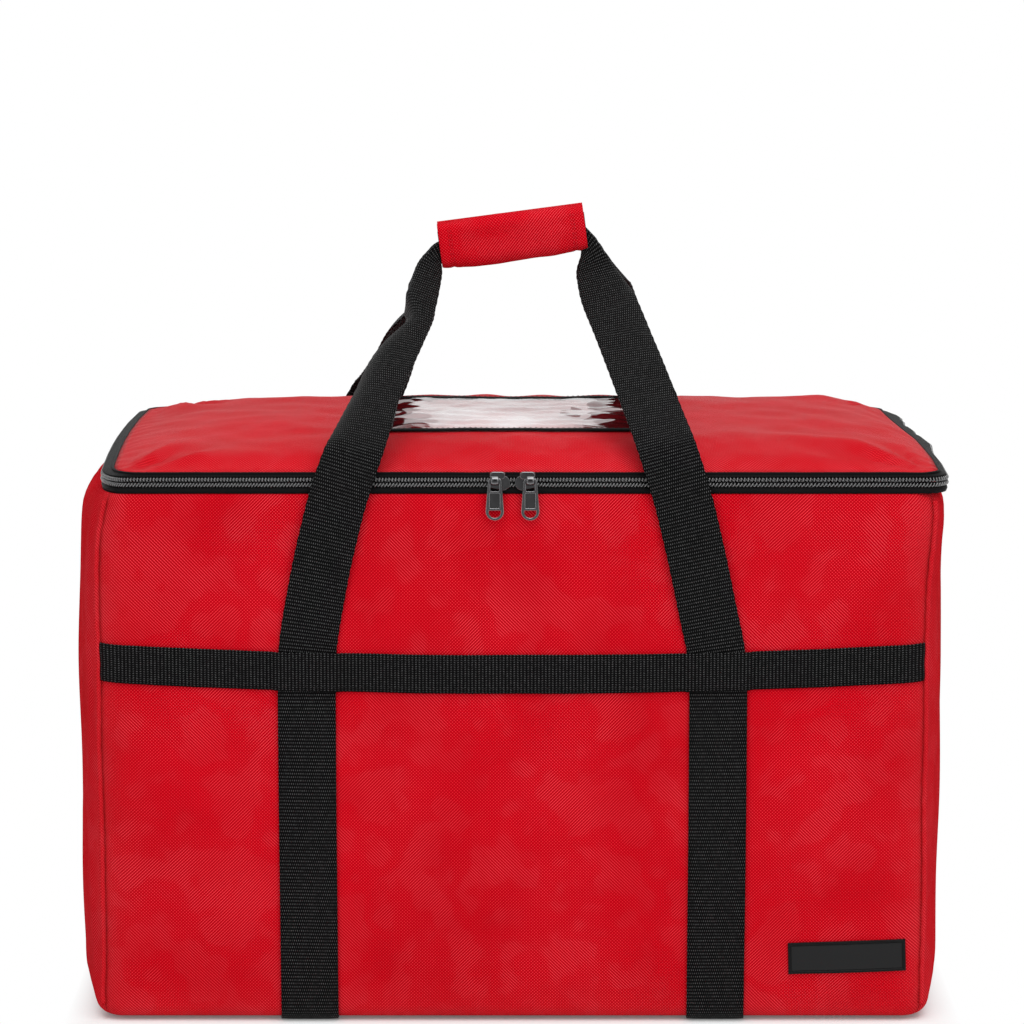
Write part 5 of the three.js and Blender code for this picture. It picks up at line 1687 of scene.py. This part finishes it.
def hem_stitches(section, side, sign):
    """Two rows of red stitches round the front of one hem."""
    loop = section[(section[:, 0] < -9) & (np.abs(section[:, 1]) < 14.5)]
    loop = loop[np.argsort(loop[:, 1])]
    away = unit(loop - np.stack([np.clip(loop[:, 0], -4, 4), loop[:, 1] * 0.6], -1))
    outwards = grip_way(away[:, 0], away[:, 1])
    for row, inset in enumerate(HEM_STITCH_LINES):
        x = sign * (GRIP_LENGTH / 2 - inset)
        path = grip_place(x, loop[:, 0], loop[:, 1]) + outwards * THREAD_PROUD
        name = f"wrap_{side}_hem_stitches_{row}"
        stitches(name, path, outwards, RED_THREAD, "front_handle", 2.4, 0.8, 0.25)


def padded_wrap():
    section = rounded_section(WRAP_CORNERS, WRAP_RADII)
    rings = []
    for x in along_grip(0.992, 46):
        ring = wrap_ring(section, x)
        rings.append(grip_place(x, ring[:, 0], ring[:, 1]))
    piece = tube_piece("padded_wrap", rings, RED, "front_handle")
    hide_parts("grip_wrap")
    for side, sign in SIDES:
        hem_stitches(section, side, sign)
    return piece


wrap = padded_wrap()
print("padded wrap:", len(wrap.data.vertices), "points")

# %% [markdown]
# ## Flap and folded webbing
# A padded flap closes the wrap from behind. It is a piece of its own, because it opens before the
# handles can be lowered. Inside, the webbing of each handle is folded into a flat loop that is
# open below, and both loops lie back to back in the wrap.


# %% Flap and folded webbing
FLAP_CORNERS, FLAP_RADII = [(5.7, -16.2), (9.8, -16.2), (9.8, 16.2), (5.7, 16.2)], [1.2, 2.9, 2.9, 1.2]
LOOP_SECTION = np.array([(0.3, -9.8), (0.3, 8.6), (1.2, 9.8), (3.9, 9.8), (4.9, 8.6),
                         (4.9, -9.6), (3.1, -9.6), (3.1, 7.9), (2.1, 7.9), (2.1, -9.8)])


def grip_flap():
    section = rounded_section(FLAP_CORNERS, FLAP_RADII, 2.5)
    rings = []
    for x in along_grip(0.99, 40):
        end = GRIP_LENGTH / 2 - abs(x)
        ring = section.copy()
        lump = 0.7 * waves(ring[:, 1] / 12, np.full(len(ring), x / 22), 107.0)
        outer_side = ring[:, 0] > 8
        ring[:, 0] += outer_side * (lump - 0.8 * math.exp(-end / 1.5) + 0.4 * float(smooth(end / 14)))
        rings.append(grip_place(x, ring[:, 0], ring[:, 1]))
    piece = tube_piece("padded_flap", rings, RED, "grip_flap")
    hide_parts("grip_flap")
    return piece


def folded_webbing(handle, facing):
    half = GRIP_LENGTH / 2 + 0.4
    deep, high = facing * LOOP_SECTION[:, 0], LOOP_SECTION[:, 1]
    rings = [grip_place(x, deep, high) for x in np.linspace(-half, half, 50)]
    piece = tube_piece(f"{handle}_folded_webbing", rings, WEBBING, handle)
    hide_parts(f"{handle}_bar")


flap = grip_flap()
folded_webbing("front_handle", -1)
folded_webbing("back_handle", 1)
print("padded flap:", len(flap.data.vertices), "points")

# %% [markdown]
# ## Casting plates and bars
# Two cast sliders meet near the middle of the front. Castings are made of flat plates and a bent
# bar, with all edges rounded, so that they draw thin lines of light. A flat outline with holes is
# filled and bevelled well by Blender's curves, so each plate starts as one and ends as a mesh.


# %% Tools for castings
QUARTER = math.pi / 2


def plate_from_outline(outlines, thick, round_edge):
    """A flat plate with holes and rounded edges, as points and faces in its own X and Y."""
    curve = bpy.data.curves.new("plate", "CURVE")
    curve.dimensions, curve.fill_mode = "2D", "BOTH"
    curve.extrude, curve.bevel_depth, curve.bevel_resolution = thick / 2 - round_edge, round_edge, 3
    curve.offset = -round_edge
    for outline in outlines:
        spline = curve.splines.new("POLY")
        spline.points.add(len(outline) - 1)
        for point, (px, py) in zip(spline.points, outline):
            point.co = (px, py, 0, 1)
        spline.use_cyclic_u = True
    holder = bpy.data.objects.new("plate", curve)
    mesh = bpy.data.meshes.new_from_object(holder)
    points = np.array([v.co for v in mesh.vertices])
    faces = [tuple(p.vertices) for p in mesh.polygons]
    bpy.data.objects.remove(holder)
    bpy.data.curves.remove(curve)
    bpy.data.meshes.remove(mesh)
    return points, faces


def arc(cx, cy, r, start, stop, count=12):
    return [(cx + r * math.cos(a), cy + r * math.sin(a)) for a in np.linspace(start, stop, count)]


def rounded_box(x0, y0, x1, y1, r):
    """The outline of a rectangle with round corners."""
    q = QUARTER
    return (arc(x1 - r, y0 + r, r, -q, 0, 5) + arc(x1 - r, y1 - r, r, 0, q, 5)
            + arc(x0 + r, y1 - r, r, q, 2 * q, 5) + arc(x0 + r, y0 + r, r, 2 * q, 3 * q, 5))


def upright(outlines, thick, round_edge, x, y, z):
    """A plate that stands up and faces the front, with its own middle at x, y, z."""
    points, faces = plate_from_outline(outlines, thick, round_edge)
    return np.stack([points[:, 0] + x, points[:, 2] + y, points[:, 1] + z], -1), faces


def casting(name, parts, material, body, dark_parts=(), dark=None):
    """Several closed forms as one casting. Edges that turn from the front are marked for worn metal and a
    painted highlight.
    """
    points, faces, kinds = [], [], []
    for kind, (part_points, part_faces) in [(0, p) for p in parts] + [(1, p) for p in dark_parts]:
        faces += [tuple(k + len(points) for k in face) for face in part_faces]
        kinds += [kind] * len(part_faces)
        points += [tuple(p) for p in part_points]
    maps = [(points[k][0], points[k][2]) for face in faces for k in face]
    piece = finish_piece(name, points, faces, maps, material, body)
    if dark:
        piece.data.materials.append(dark)
        piece.data.polygons.foreach_set("material_index", kinds)
    turn_faces_out(piece)
    # Faces that turn from the front get the brighter metal: rubbed edges, and a painted highlight along
    # them.
    facing = np.array([abs(point.normal.y) for point in piece.data.vertices])
    mark_wear_and_painted_light(piece.data, 1 - smooth((facing - 0.8) / 0.19))
    piece.data.set_sharp_from_angle(angle=math.radians(35))
    return piece


print("castings face the front at y", -HALF_DEPTH, "mm")

# %% [markdown]
# ## Sliders
# Each slider has two shield-shaped plates, one before and one behind the coils, a thin post that
# joins them between the two rows, a shoulder, and an arched crown. The crown is a bar with a soft
# square section, swept along a low arch, and carries the pull.


# %% Sliders
ARCH_LOW, ARCH_HIGH, ARCH_FOOT, ARCH_FACE = -0.8, 4.8, 1.6, 7.0
ARCH_HALF_WIDE, ARCH_HALF_DEEP, ARCH_STEPS, ARCH_SIDES = 2.5, 0.85, 18, 12
SLIDER_X, SLIDER_Z, SLIDER_LENGTH = 8.8, 364.6, 14.6
FRONT_NOSE, FRONT_TAIL, REAR_NOSE, REAR_TAIL, REAR_SHORTER = 5.0, 3.6, 3.9, 3.2, 5.4
PLATE_OUT, PLATE_THICK, POST_THICK, SHOULDER_THICK = 2.2, 1.4, 3.6, 2.2


def soft_power(value, power):
    return math.copysign(abs(value) ** power, value)


def crown_arch():
    """The arched bar over the plate that carries the pull, as points and faces round x 0."""
    turn = np.linspace(0, math.pi, ARCH_STEPS)
    path = np.stack([ARCH_LOW + (ARCH_HIGH - ARCH_LOW) * (1 - np.cos(turn)) / 2,
                     ARCH_FOOT + (ARCH_FACE - ARCH_FOOT) * np.sin(turn) ** 0.7], -1)
    ahead = unit(np.gradient(path, axis=0))
    rings = []
    for (z, y), (nz, ny) in zip(path, np.stack([-ahead[:, 1], ahead[:, 0]], -1)):
        for a in np.linspace(0, 2 * math.pi, ARCH_SIDES, endpoint=False):
            across = ARCH_HALF_WIDE * soft_power(math.cos(a), 0.6)
            deep = ARCH_HALF_DEEP * soft_power(math.sin(a), 0.7)
            rings.append((across, -(y + ny * deep), z + nz * deep))
    last = (ARCH_STEPS - 1) * ARCH_SIDES
    caps = [tuple(range(ARCH_SIDES)), tuple(last + j for j in range(ARCH_SIDES - 1, -1, -1))]
    return np.array(rings), ring_faces(ARCH_STEPS, ARCH_SIDES) + caps


def shield(nose, tail, tail_in, sign):
    """A plate that is broad where the coils come together, and narrower at its other end."""
    q, half = QUARTER, SLIDER_LENGTH / 2
    outline = arc(half - FRONT_NOSE, 0, nose, -q, q, 16) + arc(-half + tail_in, 0, tail, q, 3 * q, 12)
    return [[(-sign * px, pz) for px, pz in outline]]


def slider(side, sign):
    x, z = sign * SLIDER_X, SLIDER_Z
    front_plate = shield(FRONT_NOSE, FRONT_TAIL, FRONT_TAIL, sign)
    rear_plate = shield(REAR_NOSE, REAR_TAIL, REAR_SHORTER, sign)
    parts = [upright(plate, PLATE_THICK, 0.45, x, -HALF_DEPTH + out, z)
             for out, plate in ((-PLATE_OUT, front_plate), (PLATE_OUT, rear_plate))]
    post, shoulder = rounded_box(-1.4, -0.09, 1.4, 0.09, 0.08), rounded_box(-5.2, -2.6, 5.2, 2.6, 2.3)
    nose = x - sign * (SLIDER_LENGTH / 2 - 3)
    parts.append(upright([post], POST_THICK, 0.02, nose, -HALF_DEPTH, z))
    arch_points, arch_faces = crown_arch()
    parts.append((arch_points + [x + sign * 2.8, -HALF_DEPTH, z], arch_faces))
    parts.append(upright([shoulder], SHOULDER_THICK, 0.95, x + sign, -HALF_DEPTH - 3.3, z + 5.0))
    piece = casting(f"cast_slider_{side}", parts, BLACK_METAL, f"slider_{side}")
    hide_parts(f"slider_{side}")


print("slider:", SLIDER_LENGTH, "mm long")

# %% [markdown]
# ## Pulls
# A pull hangs from the crown by a slot. Below it are a sunk panel and an eye. The frame is one
# plate with three holes, and the panel is a thin dark plate that lies in the middle hole.


# %% Pulls
PULL_TOP, PULL_FOOT, PULL_BAR, PULL_LENGTH = 4.5, 6.0, 1.8, 27.7
PULL_AXIS_X, PULL_AXIS_Y, PULL_AXIS_Z = 11.6, -169.7, 367.0
PULL_LOW = PULL_BAR / 2 - PULL_LENGTH
EYE_LOW = PULL_LOW + 1.7


def pull(side, sign):
    q, half_bar = QUARTER, PULL_BAR / 2
    outline = ([(-PULL_FOOT, PULL_LOW + PULL_FOOT)]
               + arc(0, PULL_LOW + PULL_FOOT, PULL_FOOT, 2 * q, 4 * q, 20)[1:]
               + [(PULL_TOP, -half_bar), (PULL_TOP - 1, half_bar)]
               + [(1 - PULL_TOP, half_bar), (-PULL_TOP, -half_bar)])
    slot = rounded_box(-2.9, -7.4, 2.9, -0.9, 0.8)
    eye = [(3.9, EYE_LOW + 4.9), (-3.9, EYE_LOW + 4.9)] + arc(0, EYE_LOW + 3.9, 3.9, 2 * q, 4 * q, 16)
    window = rounded_box(-3.3, EYE_LOW + 6.4, 3.3, -8.8, 0.7)
    panel = rounded_box(-3.7, EYE_LOW + 6.0, 3.7, -8.4, 0.7)
    holes = [hole[::-1] for hole in (slot, eye, window)]
    frame = upright([outline, *holes], 1.8, 0.4, sign * PULL_AXIS_X, PULL_AXIS_Y, PULL_AXIS_Z)
    sunk = upright([panel], 0.9, 0.1, sign * PULL_AXIS_X, PULL_AXIS_Y + 0.2, PULL_AXIS_Z)
    piece = casting(f"cast_pull_{side}", [frame], METAL, f"pull_{side}", [sunk], BLACK_METAL)
    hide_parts(f"pull_{side}")


for side, sign in SIDES:
    slider(side, sign)
    pull(side, sign)
print("sliders and pulls cast:", 2 * len(SIDES))
